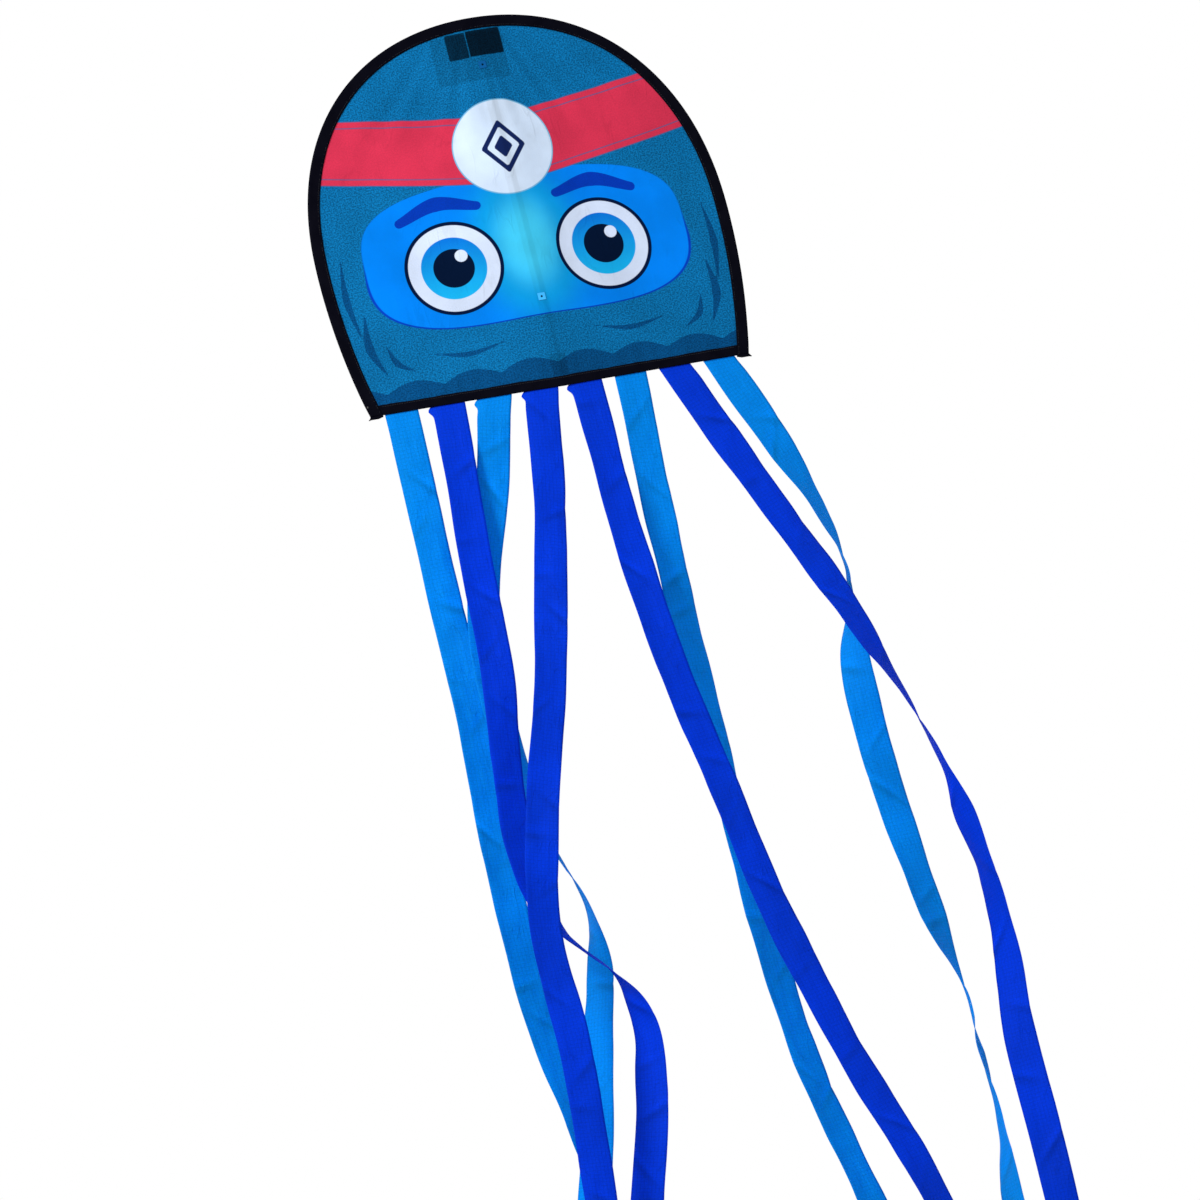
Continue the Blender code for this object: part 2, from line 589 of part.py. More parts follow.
def main():
    """Makes the materials and then every piece of the kite."""
    clear_scene()
    printed = material("printed_sail_cloth", (12, 104, 162), 0.75)
    black = material("black_tape", (6, 6, 12), 0.8)
    glass_fibre = material("glass_fibre_rod", (40, 42, 46), 0.35)
    vinyl = material("black_vinyl", (18, 18, 20), 0.5)
    brass = material("brass_ferrule", (190, 150, 80), 0.3, 1.0)
    patch_cloth = material("blue_patch_cloth", (8, 84, 140), 0.75)
    label_cloth = material("label_cloth", (22, 26, 34), 0.7)
    pale_cloth = material("pale_patch", (60, 170, 235), 0.7)
    light_blue = material("light_blue_ripstop", (3, 138, 236), 0.55)
    dark_blue = material("dark_blue_ripstop", (3, 58, 208), 0.55)

    sail(printed)
    edge_sleeve(black)
    hem_tape(black)
    for side, word in ((LEFT, "left"), (RIGHT, "right")):
        bow_rod(f"bow_rod_{word}", side, glass_fibre)
        bow_cap(f"bow_cap_{word}", side, vinyl)
        corner_tab(f"corner_tab_{word}", side, black)
    ferrule(brass)
    spine(glass_fibre, vinyl, black, patch_cloth)
    bridle_patch("bridle_patch_upper", UPPER_BRIDLE_HEIGHT, patch_cloth)
    bridle_patch("bridle_patch_lower", LOWER_BRIDLE_HEIGHT, pale_cloth)
    care_label(label_cloth)
    for number in LIES:
        streamer(number, light_blue if number in LIGHT_STREAMERS else dark_blue)


main()
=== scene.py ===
"""Octopus kite: the cloth, tapes, seams and streamers as they look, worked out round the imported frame.

The face looks towards -Y and the spine stands along +Z. Points of the flat pattern are (across, height),
with the height counted from the middle of the hem, and swept() carries them onto the finished kite.
"""

import json
import math

import bpy
import numpy as np
from bpy.props import FloatProperty, FloatVectorProperty, IntProperty, PointerProperty
from mathutils import Matrix, Vector


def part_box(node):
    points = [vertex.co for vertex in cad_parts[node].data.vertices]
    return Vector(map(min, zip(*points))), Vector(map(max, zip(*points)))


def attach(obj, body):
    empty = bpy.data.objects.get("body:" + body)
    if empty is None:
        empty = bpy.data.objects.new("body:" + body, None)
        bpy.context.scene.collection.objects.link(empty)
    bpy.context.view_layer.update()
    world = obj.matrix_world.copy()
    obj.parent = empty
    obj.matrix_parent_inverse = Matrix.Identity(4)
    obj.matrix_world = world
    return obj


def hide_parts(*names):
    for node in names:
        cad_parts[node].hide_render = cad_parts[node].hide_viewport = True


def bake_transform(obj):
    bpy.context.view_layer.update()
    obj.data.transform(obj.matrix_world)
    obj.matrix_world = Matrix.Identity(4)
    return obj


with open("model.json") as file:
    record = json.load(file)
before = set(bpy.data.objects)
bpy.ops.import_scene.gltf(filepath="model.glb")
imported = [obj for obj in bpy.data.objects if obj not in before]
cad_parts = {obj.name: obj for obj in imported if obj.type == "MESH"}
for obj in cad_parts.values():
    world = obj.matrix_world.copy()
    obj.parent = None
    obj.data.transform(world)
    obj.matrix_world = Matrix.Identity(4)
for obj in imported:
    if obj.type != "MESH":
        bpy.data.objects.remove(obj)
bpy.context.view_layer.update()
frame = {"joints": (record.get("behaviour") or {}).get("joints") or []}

bl_info = {
    "name": "Octopus Kite",
    "version": (1, 0, 0),
    "blender": (4, 5, 0),
    "location": "3D View > Sidebar > Kite",
    "description": "Makes a printed kite head with bound edges and eight ripstop streamers",
    "category": "Object",
}

EDGE_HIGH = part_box("edge_sleeve")[1]
HALF_WIDTH = EDGE_HIGH[0]
HEM_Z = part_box("hem_tape")[0][2]
NOSE_HEIGHT = EDGE_HIGH[2] - HEM_Z
SEAMS = {joint["child"]: joint for joint in frame["joints"]}

# The head's pattern and how its pieces lie over each other, in metres
SHOULDER_HEIGHT = 0.207
CROWN_HEIGHT = NOSE_HEIGHT - SHOULDER_HEIGHT
CROWN_POWER = 2.25
SIDE_RADIUS = 0.890
HEM_RISE = 0.009
SWEEP = math.tan(math.radians(5.0))
CREASE_RADIUS = 0.030
SAIL_THICKNESS = 0.0006
MIDDLE = SAIL_THICKNESS / 2
CLEARANCE = 0.0003
TAPE_THICKNESS = 0.0005
PATCH_THICKNESS = 0.0004
SLEEVE_WIDTH = 0.016
SLEEVE_HALF = 0.0026
HEM_TAPE_WIDTH = 0.014
LIP_DEPTH = MIDDLE + CLEARANCE + TAPE_THICKNESS / 2
SAIL_INSET = 2 * SLEEVE_HALF + CLEARANCE
PATCH_FRONT = SAIL_THICKNESS + CLEARANCE
POCKET_FRONT = PATCH_FRONT + PATCH_THICKNESS + CLEARANCE
SPINE_BACK = 0.0042
ROD_RADIUS = 0.001
STREAMER_WIDTH = 0.044
STREAMER_LENGTH = 1.450
STREAMER_THICKNESS = 0.0003
ROOT_DEPTH = LIP_DEPTH + TAPE_THICKNESS / 2 + CLEARANCE
ROOT_HEIGHT = 0.008
BRIDLE_BOXES = [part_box(f"bridle_patch_{word}") for word in ("lower", "upper")]
BRIDLE_HEIGHTS = [(low[2] + high[2]) / 2 - HEM_Z for low, high in BRIDLE_BOXES]
BRIDLE_HOLE_RADIUS = 0.0015
CAP_RADIUS = 0.0018
THREAD_GAP = 0.0001
EDGE_SEAM_INSET = 0.0024
HEM_SEAM_INSET = 0.0026
ROOT_SEAM_HEIGHT = 0.0055
SPINE_SEAM_INSET = 0.0022
SPINE_SEAM_LIFT = 0.0005
SEAM_END = 0.001
CORNER_WIDTH = 0.0036
CORNER_RADIUS = 0.0015
CORNER_LIP = 0.0014
CORNER_DROP = 0.0038

# Painted shadow: how far each cloth sewn behind the sail darkens it where it blocks the light coming through
# the sail
PAINTED_SHOW_THROUGH_SHADE = {"nose_patch": 0.20, "nose_pocket": 0.92, "care_label": 0.84, "spine_sleeve": 0.06,
                "hem_pocket": 0.25}

# The stage
FLOOR_REACH = 60.0
SENSOR_WIDTH = 36.0
LIGHT_SIZE = 1.2
LIGHT_PLACE = (-2.6, -2.4, 0.9)

# Each streamer's lie, by its number from the kite's right hand to its left: rows of (share of the length
# down from the hem, metres across from its seam, metres back, degrees turned about its own length).
LIES = {
    1: ((0, 0, 0, 0), (0.14, 0.001, 0.022, 0), (0.29, 0, 0.034, 5), (0.42, -0.009, 0.040, 10),
        (0.56, -0.006, 0.050, 15), (0.66, 0.012, 0.066, 35), (0.76, 0.028, 0.082, 70),
        (0.88, 0.040, 0.086, 105), (1, 0.044, 0.086, 150)),
    2: ((0, 0, 0, 0), (0.08, -0.010, -0.008, 4), (0.16, -0.020, -0.012, 8),
        (0.26, -0.028, -0.012, 0), (0.34, -0.045, -0.014, 25), (0.42, -0.056, -0.016, 20),
        (0.47, -0.050, -0.017, 35), (0.51, -0.024, -0.017, 66), (0.555, 0.026, -0.017, 84),
        (0.60, 0.047, -0.015, 125), (0.66, 0.036, -0.013, 152), (0.78, -0.014, -0.012, 168),
        (1, -0.060, -0.008, 200)),
    3: ((0, -0.002, 0, 0), (0.08, -0.030, 0.012, 3), (0.15, -0.064, 0.024, 0), (0.22, -0.086, 0.030, 12),
        (0.31, -0.088, 0.032, 28), (0.40, -0.068, 0.038, 66), (0.475, -0.038, 0.040, 90),
        (0.53, -0.042, 0.042, 128), (0.60, -0.068, 0.042, 147), (0.68, -0.098, 0.040, 158),
        (0.78, -0.140, 0.034, 165), (1, -0.200, 0.026, 190)),
    4: ((0, -0.002, 0, 0), (0.10, -0.030, -0.022, 14), (0.20, -0.068, -0.046, 4), (0.30, -0.108, -0.058, 14),
        (0.39, -0.150, -0.064, 6), (0.50, -0.188, -0.066, 12), (0.62, -0.190, -0.066, 6),
        (0.76, -0.204, -0.064, 12), (1, -0.240, -0.056, 20)),
    5: ((0, 0, 0, 0), (0.12, -0.002, -0.014, 4), (0.24, 0.006, -0.020, 0), (0.40, 0.038, -0.022, 8),
        (0.52, 0.066, -0.020, 2), (0.63, 0.103, -0.018, 6), (0.80, 0.176, -0.016, 12),
        (1, 0.225, -0.012, 28)),
    6: ((0, 0, 0, 0), (0.14, -0.006, 0.014, 8), (0.28, -0.006, 0.024, 14), (0.45, -0.004, 0.030, 22),
        (0.58, 0, 0.030, 12), (0.68, 0.014, 0.030, 20), (0.80, 0.048, 0.028, 14), (1, 0.110, 0.024, 30)),
    7: ((0, 0, 0, 0), (0.12, 0.066, -0.006, 4), (0.24, 0.134, -0.014, 16), (0.30, 0.160, -0.020, 34),
        (0.36, 0.190, -0.022, 62), (0.42, 0.210, -0.022, 84), (0.46, 0.218, -0.020, 104),
        (0.52, 0.230, -0.018, 97), (0.58, 0.231, -0.016, 118), (0.66, 0.220, -0.014, 142),
        (0.76, 0.220, -0.012, 158), (1, 0.214, -0.008, 200)),
    8: ((0, 0, 0, 0), (0.08, 0.048, 0.010, 6), (0.15, 0.086, 0.020, 46), (0.21, 0.102, 0.028, 74),
        (0.25, 0.094, 0.032, 92), (0.29, 0.086, 0.036, 128), (0.34, 0.084, 0.040, 164),
        (0.46, 0.092, 0.042, 184), (0.55, 0.104, 0.042, 210), (0.62, 0.120, 0.042, 252),
        (0.67, 0.117, 0.040, 240), (0.74, 0.118, 0.038, 266), (0.80, 0.110, 0.036, 286),
        (1, 0.100, 0.030, 330)),
}
LIGHT_STREAMERS = (1, 3, 6, 8)

# Streamers whose outer top corner stands out past the seam as a small ear
EARED_STREAMERS = (2, 3, 4, 5)


def ink(red, green, blue):
    """A display colour of 0 to 255 as a linear one."""
    share = np.array((red, green, blue)) / 255
    return tuple(np.where(share <= 0.04045, share / 12.92, ((share + 0.055) / 1.055) ** 2.4))


def colour(name, description, red, green, blue):
    """A colour property whose default is given as a display colour."""
    return FloatVectorProperty(name=name, description=description, subtype="COLOR", size=3, min=0, max=1,
                               default=ink(red, green, blue))


def length(name, description, default):
    """A length property in metres."""
    return FloatProperty(name=name, description=description, default=default, min=0, unit="LENGTH",
                         precision=5)


def angle(name, description, degrees):
    """An angle property whose default is given in degrees."""
    return FloatProperty(name=name, description=description, default=math.radians(degrees), subtype="ANGLE")


def amount(name, description, default):
    """A property for a plain amount that is never negative."""
    return FloatProperty(name=name, description=description, default=default, min=0)


class KitePrint(bpy.types.PropertyGroup):
    """The colours printed on the head."""

    hood: colour("Hood", "The hood's plain field", 10, 110, 167)
    hood_fold: colour("Hood folds", "The drapery drawn on the hood", 5, 76, 129)
    opening: colour("Opening", "The face in the hood's opening, at its sides", 1, 133, 238)
    opening_mid: colour("Opening middle", "The face between the eyes and the sides", 12, 160, 226)
    glow: colour("Glow", "The bright middle of the face", 70, 208, 245)
    line: colour("Line", "The line under the opening", 4, 62, 186)
    band: colour("Band", "The headband", 214, 54, 85)
    band_edge: colour("Band edge", "The thin line along the headband", 84, 92, 142)
    disc: colour("Disc", "The disc on the headband", 214, 230, 249)
    disc_edge: colour("Disc edge", "The thin rim of the disc", 120, 186, 222)
    mark: colour("Mark", "The plain mark on the disc", 20, 38, 92)
    eye: colour("Eye", "The white of the eyes", 214, 226, 246)
    outline: colour("Outline", "The eyes' dark outline", 2, 22, 62)
    iris_low: colour("Iris, lower", "The iris at its lower edge", 26, 186, 240)
    iris_high: colour("Iris, upper", "The iris at its upper edge", 8, 116, 214)
    pupil: colour("Pupil", "The pupils", 2, 20, 50)
    brow: colour("Brow", "The brows", 4, 58, 180)


class KiteCloth(bpy.types.PropertyGroup):
    """The cloths and tapes, and how they sit."""

    tape: colour("Binding tape", "The black tape round the head", 4, 4, 13)
    patch: colour("Patch cloth", "The plain cloth of the patches on the back", 8, 80, 138)
    pale_patch: colour("Pale patch", "The lower bridle patch", 60, 168, 232)
    label: colour("Label", "The blank label", 8, 26, 50)
    light_streamer: colour("Light streamer", "The light blue ripstop", 1, 156, 248)
    dark_streamer: colour("Dark streamer", "The dark blue ripstop", 2, 66, 230)
    weave: length("Weave", "Distance between the printed cloth's threads", 0.00045)
    ripstop: length("Ripstop", "Distance between the ripstop's thick threads", 0.0050)
    stitch: length("Stitch", "Length from one stitch to the next", 0.0032)
    billow: length("Billow", "How far back the wind pushes each half of the head", 0.0060)
    pucker: length("Pucker", "Height of the soft puckers under the nose", 0.0015)
    flutter: length("Flutter", "How far the streamers' edges wave", 0.0016)
    crease: length("Crease", "Height of the streamers' packing creases", 0.0016)
    stations: IntProperty(name="Stations", description="Steps along a streamer", default=520, min=60)


class KiteStage(bpy.types.PropertyGroup):
    """The floor, the light and the view."""

    azimuth: angle("Azimuth", "Where the camera stands, round from the front", -15)
    elevation: angle("Elevation", "The camera's height above level", -17)
    roll: angle("Roll", "How far the camera is turned about its view", 14.3)
    distance: length("Distance", "From the camera to the point it looks at", 20.0)
    width: length("Width", "Width of what the camera sees at that point", 1.5516)
    floor_drop: length("Floor", "How far the floor is under the hem", 7.0)
    floor: colour("Floor", "The floor", 240, 240, 240)
    ambient: amount("Ambient", "How bright the white room is", 0.74)
    key: amount("Broad light", "The light's power in watts", 125)
    aim: FloatVectorProperty(name="Aim", description="Where the camera looks, across and up", size=2,
                             default=(-0.0250, -0.7510), subtype="XYZ", unit="LENGTH")


# ---------------------------------------------------------------- the head's pattern


def swept_back(x):
    """How far back the cloth lies: a straight wing on each side, joined by a round crease over the spine."""
    return SWEEP * (np.sqrt(np.square(x) + CREASE_RADIUS**2) - CREASE_RADIUS)


def hem_height(x):
    """The hem rises evenly from its middle to both corners."""
    return HEM_RISE * np.abs(x) / HALF_WIDTH


def side_x(height, inset):
    """Half the head's width at a height up to the shoulder: a long arc, moved in by the inset."""
    reach = SIDE_RADIUS - inset
    return HALF_WIDTH - SIDE_RADIUS + np.sqrt(reach**2 - (SHOULDER_HEIGHT - height) ** 2)


def arch(angle, inset):
    """The crown as half a superellipse, an ellipse that its power makes fuller at the shoulders, by the angle
    from straight up, moved in along its normal."""
    across, up = np.sin(angle) ** (2 / CROWN_POWER), np.abs(np.cos(angle)) ** (2 / CROWN_POWER)
    normal = np.stack([across ** (CROWN_POWER - 1) / HALF_WIDTH, up ** (CROWN_POWER - 1) / CROWN_HEIGHT])
    normal /= np.linalg.norm(normal, axis=0)
    return HALF_WIDTH * across - inset * normal[0], SHOULDER_HEIGHT + CROWN_HEIGHT * up - inset * normal[1]


def run_along(points):
    """The distance along a line of points, at each of them."""
    return np.concatenate([[0], np.cumsum(np.linalg.norm(np.diff(points, axis=0), axis=1))])


def evenly(points, count):
    """A line of points, read again at even steps of its length."""
    run = run_along(points)
    at = np.linspace(0, run[-1], count)
    return np.stack([np.interp(at, run, column) for column in points.T], axis=1)


def edge_line(inset, count):
    """The head's edge from its right corner over the crown to its left, as even (across, height) points."""
    low = float(hem_height(side_x(0, inset)))
    heights = np.linspace(low, SHOULDER_HEIGHT, 80)[:-1]
    side = np.stack([side_x(heights, inset), heights], axis=1)
    crown = np.stack(arch(np.linspace(math.pi / 2, 0, 240), inset), axis=1)
    right = np.concatenate([side, crown])
    left = right[-2::-1] * (-1, 1)
    return evenly(np.concatenate([right, left]), count)


def crown_height(x):
    """The height of the crown over a point of the hem."""
    share = np.clip(np.abs(x) / HALF_WIDTH, 0, 1)
    return SHOULDER_HEIGHT + CROWN_HEIGHT * (1 - share**CROWN_POWER) ** (1 / CROWN_POWER)


def rise(low, high, values):
    """A smooth step from 0 at low to 1 at high."""
    t = np.clip((values - low) / (high - low), 0, 1)
    return t * t * (3 - 2 * t)


def relief(x, height):
    """How far the wind and the seams move the cloth back from the plain swept head.

    Each half bellies out between the spine and its edge. Puckers fan out below the nose and die away, and
    short gathers stand along the hem where the tape was sewn on under tension.
    """
    cloth = bpy.context.scene.kite_cloth
    top = crown_height(x)
    up = np.clip((height - hem_height(x)) / np.maximum(top - hem_height(x), 1e-6), 0, 1)
    out = np.clip(np.abs(x) / HALF_WIDTH, 0, 1)
    edge = rise(0, 0.10, 1 - out) * rise(0, 0.08, 1 - up) * rise(0, 0.06, up)
    belly = cloth.billow * np.sin(math.pi * out) * np.sin(math.pi * up) ** 0.7 * rise(0.010, 0.060, np.abs(x))
    drop = NOSE_HEIGHT - height
    spread = np.arctan2(x, drop + 0.05)
    fan = 0.45 * np.sin(11 * spread + 0.6) + 0.5 * np.sin(27 * spread + 2.0)
    fan += 0.28 * np.sin(44 * spread + 0.9)
    fan *= np.exp(-np.square((drop - 0.11) / 0.075)) * rise(0.006, 0.020, np.abs(x))
    above = height - hem_height(x) - HEM_TAPE_WIDTH
    gathers = np.sin(x / 0.0042 + 1.3 * np.sin(x / 0.021)) * np.exp(-np.clip(above, 0, 1) / 0.018)
    drift = np.sin(x / 0.031 + height / 0.047) * np.sin(height / 0.036 - x / 0.09)
    return edge * (belly + cloth.pucker * (fan + 0.55 * gathers + 0.7 * drift * rise(0.01, 0.05, np.abs(x))))


def swept(x, depth, height):
    """Points of the flat pattern, at a depth behind the sail's front, where they are on the kite."""
    x, depth, height = np.broadcast_arrays(x, depth, height)
    return np.stack([x, depth + swept_back(x), height + HEM_Z], axis=-1)


def on_sail(x, depth, height):
    """Points at a depth behind the sail's front, following its belly and puckers."""
    return swept(x, depth + relief(x, height), height)


# ---------------------------------------------------------------- meshes


def grid_corners(rows, columns, wraps):
    """The corners of a grid's quads, once as vertices and once as places on the unrolled grid."""
    steps = columns if wraps else columns - 1
    row, column = np.meshgrid(np.arange(rows - 1), np.arange(steps), indexing="ij")
    ring = np.stack([row, row, row + 1, row + 1], axis=-1)
    along = np.stack([column, column + 1, column + 1, column], axis=-1)
    vertices = ring * columns + along % columns
    unrolled = ring * (columns + 1 if wraps else columns) + along
    return vertices.reshape(-1, 4), unrolled.reshape(-1, 4)


def linked(name, mesh, material):
    """A new object of this mesh and material, shaded smooth."""
    mesh.materials.append(material)
    mesh.shade_smooth()
    obj = bpy.data.objects.new(name, mesh)
    bpy.context.scene.collection.objects.link(obj)
    return obj


def surface(name, points, place, material, wraps=False, turned=False, fields=None):
    """A grid of points as a mesh. place holds each point's distance across and along the cloth in metres,
    which becomes the UV map, and fields are further values on the points for the material to read."""
    rows, columns = points.shape[:2]
    vertices, unrolled = grid_corners(rows, columns, wraps)
    if turned:
        vertices, unrolled = vertices[:, ::-1], unrolled[:, ::-1]
    mesh = bpy.data.meshes.new(name)
    mesh.from_pydata(points.reshape(-1, 3).tolist(), [], vertices.tolist())
    layer = mesh.uv_layers.new(name="cloth")
    layer.data.foreach_set("uv", place.reshape(-1, 2)[unrolled.reshape(-1)].astype(np.float32).ravel())
    for key, values in (fields or {}).items():
        attribute = mesh.attributes.new(key, "FLOAT", "POINT")
        attribute.data.foreach_set("value", values.astype(np.float32).ravel())
    return linked(name, mesh, material)


def thickened(obj, thickness, offset=0.0):
    """Gives a sheet its two faces and its cut edge."""
    solid = obj.modifiers.new("thickness", "SOLIDIFY")
    solid.thickness = thickness
    solid.offset = offset
    solid.use_even_offset = True
    return obj


def stitch_row(places, out, pitch, reach=0.00022):
    """Short threads along a line of points, as vertices, sides and ends: each is a six-sided bead, round
    across and half a circle lengthways, that lies along the line and stands a little out of the cloth."""
    run = run_along(places)
    count = max(int(run[-1] / pitch), 2)
    at = (np.arange(count) + 0.5) * run[-1] / count
    middle = np.stack([np.interp(at, run, column) for column in places.T], axis=1)
    normal = np.stack([np.interp(at, run, column) for column in out.T], axis=1)
    ahead = np.stack([np.interp(at + pitch / 4, run, column) for column in places.T], axis=1)
    along = ahead - middle
    along /= np.linalg.norm(along, axis=1)[:, None]
    side = np.cross(along, normal)
    corner = np.arange(6)
    turn = corner * math.pi / 3
    station = np.array([-1.0, -0.75, 0.0, 0.75, 1.0])
    swell = reach * np.array([0.45, 0.95, 1.1, 0.95, 0.45])
    lift = reach * np.array([-0.9, 0.15, 0.5, 0.15, -0.9])
    local = (
        (station * pitch * 0.40)[None, :, None, None] * along[:, None, None]
        + (swell[:, None] * np.cos(turn))[None, :, :, None] * side[:, None, None]
        + (swell[:, None] * np.sin(turn) + lift[:, None])[None, :, :, None] * normal[:, None, None]
    )
    points = middle[:, None, None] + local
    sides = grid_corners(len(station), len(corner), True)[0]
    ends = np.stack([corner[::-1], corner + len(corner) * (len(station) - 1)])
    first = (np.arange(count) * len(station) * len(corner))[:, None, None]
    return points.reshape(-1, 3), (sides + first).reshape(-1, 4), (ends + first).reshape(-1, len(corner))


def stitching(name, lines, pitch, material):
    """One object of all the stitches along several lines; a line is (points, which way is out)."""
    vertices, faces = np.empty((0, 3)), []
    for places, out in lines:
        points, sides, ends = stitch_row(places, out, pitch)
        faces += (sides + len(vertices)).tolist() + (ends + len(vertices)).tolist()
        vertices = np.concatenate([vertices, points])
    mesh = bpy.data.meshes.new(name)
    mesh.from_pydata(vertices.tolist(), [], faces)
    return linked(name, mesh, material)


# ---------------------------------------------------------------- node work


def feed(tree, value, socket):
    """Links a socket to another, or sets it to a value."""
    if isinstance(value, bpy.types.NodeSocket):
        tree.links.new(value, socket)
    else:
        socket.default_value = value


def sums(tree, operation, *values):
    """A Math node's result."""
    node = tree.nodes.new("ShaderNodeMath")
    node.operation = operation
    for socket, value in zip(node.inputs, values):
        feed(tree, value, socket)
    return node.outputs[0]


def product(tree, *values):
    """Several values multiplied, one after the other."""
    result = values[0]
    for value in values[1:]:
        result = sums(tree, "MULTIPLY", result, value)
    return result


def ranged(tree, value, low, high, to_low=0.0, to_high=1.0, smooth=True):
    """A value carried from one range to another, clamped."""
    node = tree.nodes.new("ShaderNodeMapRange")
    node.interpolation_type = "SMOOTHSTEP" if smooth else "LINEAR"
    for socket, given in zip(node.inputs, (value, low, high, to_low, to_high)):
        feed(tree, given, socket)
    return node.outputs[0]


def blended(tree, factor, first, second, mode="MIX"):
    """Two colours mixed by a factor."""
    node = tree.nodes.new("ShaderNodeMix")
    node.data_type = "RGBA"
    node.blend_type = mode
    feed(tree, factor, node.inputs[0])
    for given, socket in ((first, node.inputs[6]), (second, node.inputs[7])):
        feed(tree, given if isinstance(given, bpy.types.NodeSocket) else (*given, 1), socket)
    return node.outputs[2]


def grey(tree, value):
    """A value as a grey colour."""
    node = tree.nodes.new("ShaderNodeCombineColor")
    for socket in node.inputs:
        tree.links.new(value, socket)
    return node.outputs[0]


def field(tree, name):
    """A value that the mesh carries on its points."""
    node = tree.nodes.new("ShaderNodeAttribute")
    node.attribute_name = name
    return node.outputs["Fac"]


def cloth_place(tree):
    """The distance across and along the cloth, in metres, from the UV map."""
    node = tree.nodes.new("ShaderNodeUVMap")
    node.uv_map = "cloth"
    return node.outputs[0]


def noise(tree, place, scale, detail=2.0, roughness=0.5):
    """Noise from 0 to 1 at a scale in lumps a metre."""
    node = tree.nodes.new("ShaderNodeTexNoise")
    feed(tree, place, node.inputs["Vector"])
    feed(tree, scale, node.inputs["Scale"])
    node.inputs["Detail"].default_value = detail
    node.inputs["Roughness"].default_value = roughness
    return node.outputs["Fac"]


def new_group(name, inputs, outputs):
    """An empty node group; inputs and outputs are (name, socket type, default or None)."""
    tree = bpy.data.node_groups.new(name, "ShaderNodeTree")
    for key, kind, default in inputs:
        socket = tree.interface.new_socket(key, in_out="INPUT", socket_type=kind)
        if default is not None:
            socket.default_value = default
    for key, kind in outputs:
        tree.interface.new_socket(key, in_out="OUTPUT", socket_type=kind)
    return tree, tree.nodes.new("NodeGroupInput").outputs, tree.nodes.new("NodeGroupOutput").inputs


def grouped(tree, maker, **values):
    """Puts a shared node group into a tree with its inputs set by name, and returns its outputs. The group is
    made the first time it is asked for."""
    name = maker.__name__.replace("_", " ")
    node = tree.nodes.new("ShaderNodeGroup")
    node.node_tree = bpy.data.node_groups.get(name) or maker(name)
    for key, value in values.items():
        feed(tree, value, node.inputs[key])
    return node.outputs


def plain_weave(name):
    """Threads over and under each other: the product of two waves, with a thicker thread every so often.

    Height is the cloth's relief from 0 to 1, and Lines marks the thick threads of a ripstop.
    """
    tree, given, put = new_group(
        name,
        (("Place", "NodeSocketVector", None), ("Pitch", "NodeSocketFloat", 0.0005),
         ("Grid", "NodeSocketFloat", 0.005), ("Thread", "NodeSocketFloat", 0.10)),
        (("Height", "NodeSocketFloat"), ("Lines", "NodeSocketFloat")),
    )
    axes = tree.nodes.new("ShaderNodeSeparateXYZ")
    tree.links.new(given["Place"], axes.inputs[0])
    waves, lines = [], []
    for axis in (axes.outputs[0], axes.outputs[1]):
        turns = sums(tree, "DIVIDE", axis, given["Pitch"])
        waves.append(sums(tree, "SINE", product(tree, turns, 2 * math.pi)))
        cell = sums(tree, "PINGPONG", sums(tree, "DIVIDE", axis, given["Grid"]), 0.5)
        lines.append(ranged(tree, cell, 0.0, given["Thread"], 1.0, 0.0))
    grid = sums(tree, "MAXIMUM", *lines)
    weave = ranged(tree, product(tree, *waves), -1, 1, 0.0, 0.7, smooth=False)
    feed(tree, sums(tree, "MAXIMUM", weave, grid), put["Height"])
    feed(tree, grid, put["Lines"])
    return tree


def cloth_grain(name):
    """The speckle of print on thread and the slow unevenness of dyed cloth, both about 0 to 1."""
    tree, given, put = new_group(
        name,
        (("Place", "NodeSocketVector", None), ("Fine", "NodeSocketFloat", 700.0),
         ("Broad", "NodeSocketFloat", 14.0)),
        (("Speckle", "NodeSocketFloat"), ("Cloudy", "NodeSocketFloat")),
    )
    feed(tree, ranged(tree, noise(tree, given["Place"], given["Fine"], 1.0), 0.32, 0.68), put["Speckle"])
    feed(tree, ranged(tree, noise(tree, given["Place"], given["Broad"], 3.0), 0.3, 0.7), put["Cloudy"])
    return tree


def crumples(name):
    """Creases left by packing: the crests of two noises stretched along opposite diagonals, which fade in
    and out over the cloth. Height is the relief with the soft waves between them, Line the crests alone."""
    tree, given, put = new_group(
        name,
        (("Place", "NodeSocketVector", None), ("Lumps", "NodeSocketFloat", 16.0),
         ("Sharp", "NodeSocketFloat", 0.05)),
        (("Height", "NodeSocketFloat"), ("Line", "NodeSocketFloat")),
    )
    crests, waves = [], []
    for degrees, shift in ((34, 0.0), (-47, 3.7)):
        turned = tree.nodes.new("ShaderNodeMapping")
        turned.inputs["Rotation"].default_value = (0, 0, math.radians(degrees))
        turned.inputs["Location"].default_value = (shift, shift, 0)
        turned.inputs["Scale"].default_value = (1.0, 0.26, 1.0)
        tree.links.new(given["Place"], turned.inputs["Vector"])
        soft = noise(tree, turned.outputs[0], given["Lumps"], 1.5)
        far = sums(tree, "ABSOLUTE", sums(tree, "SUBTRACT", soft, 0.5))
        crests.append(ranged(tree, far, 0.0, given["Sharp"], 1.0, 0.0))
        waves.append(soft)
    fade = ranged(tree, noise(tree, given["Place"], product(tree, given["Lumps"], 0.6)), 0.46, 0.62)
    line = product(tree, sums(tree, "MAXIMUM", *crests), fade)
    broad = ranged(tree, sums(tree, "ADD", *waves), 0.75, 1.25)
    feed(tree, sums(tree, "ADD", broad, product(tree, line, 0.3)), put["Height"])
    feed(tree, line, put["Line"])
    return tree


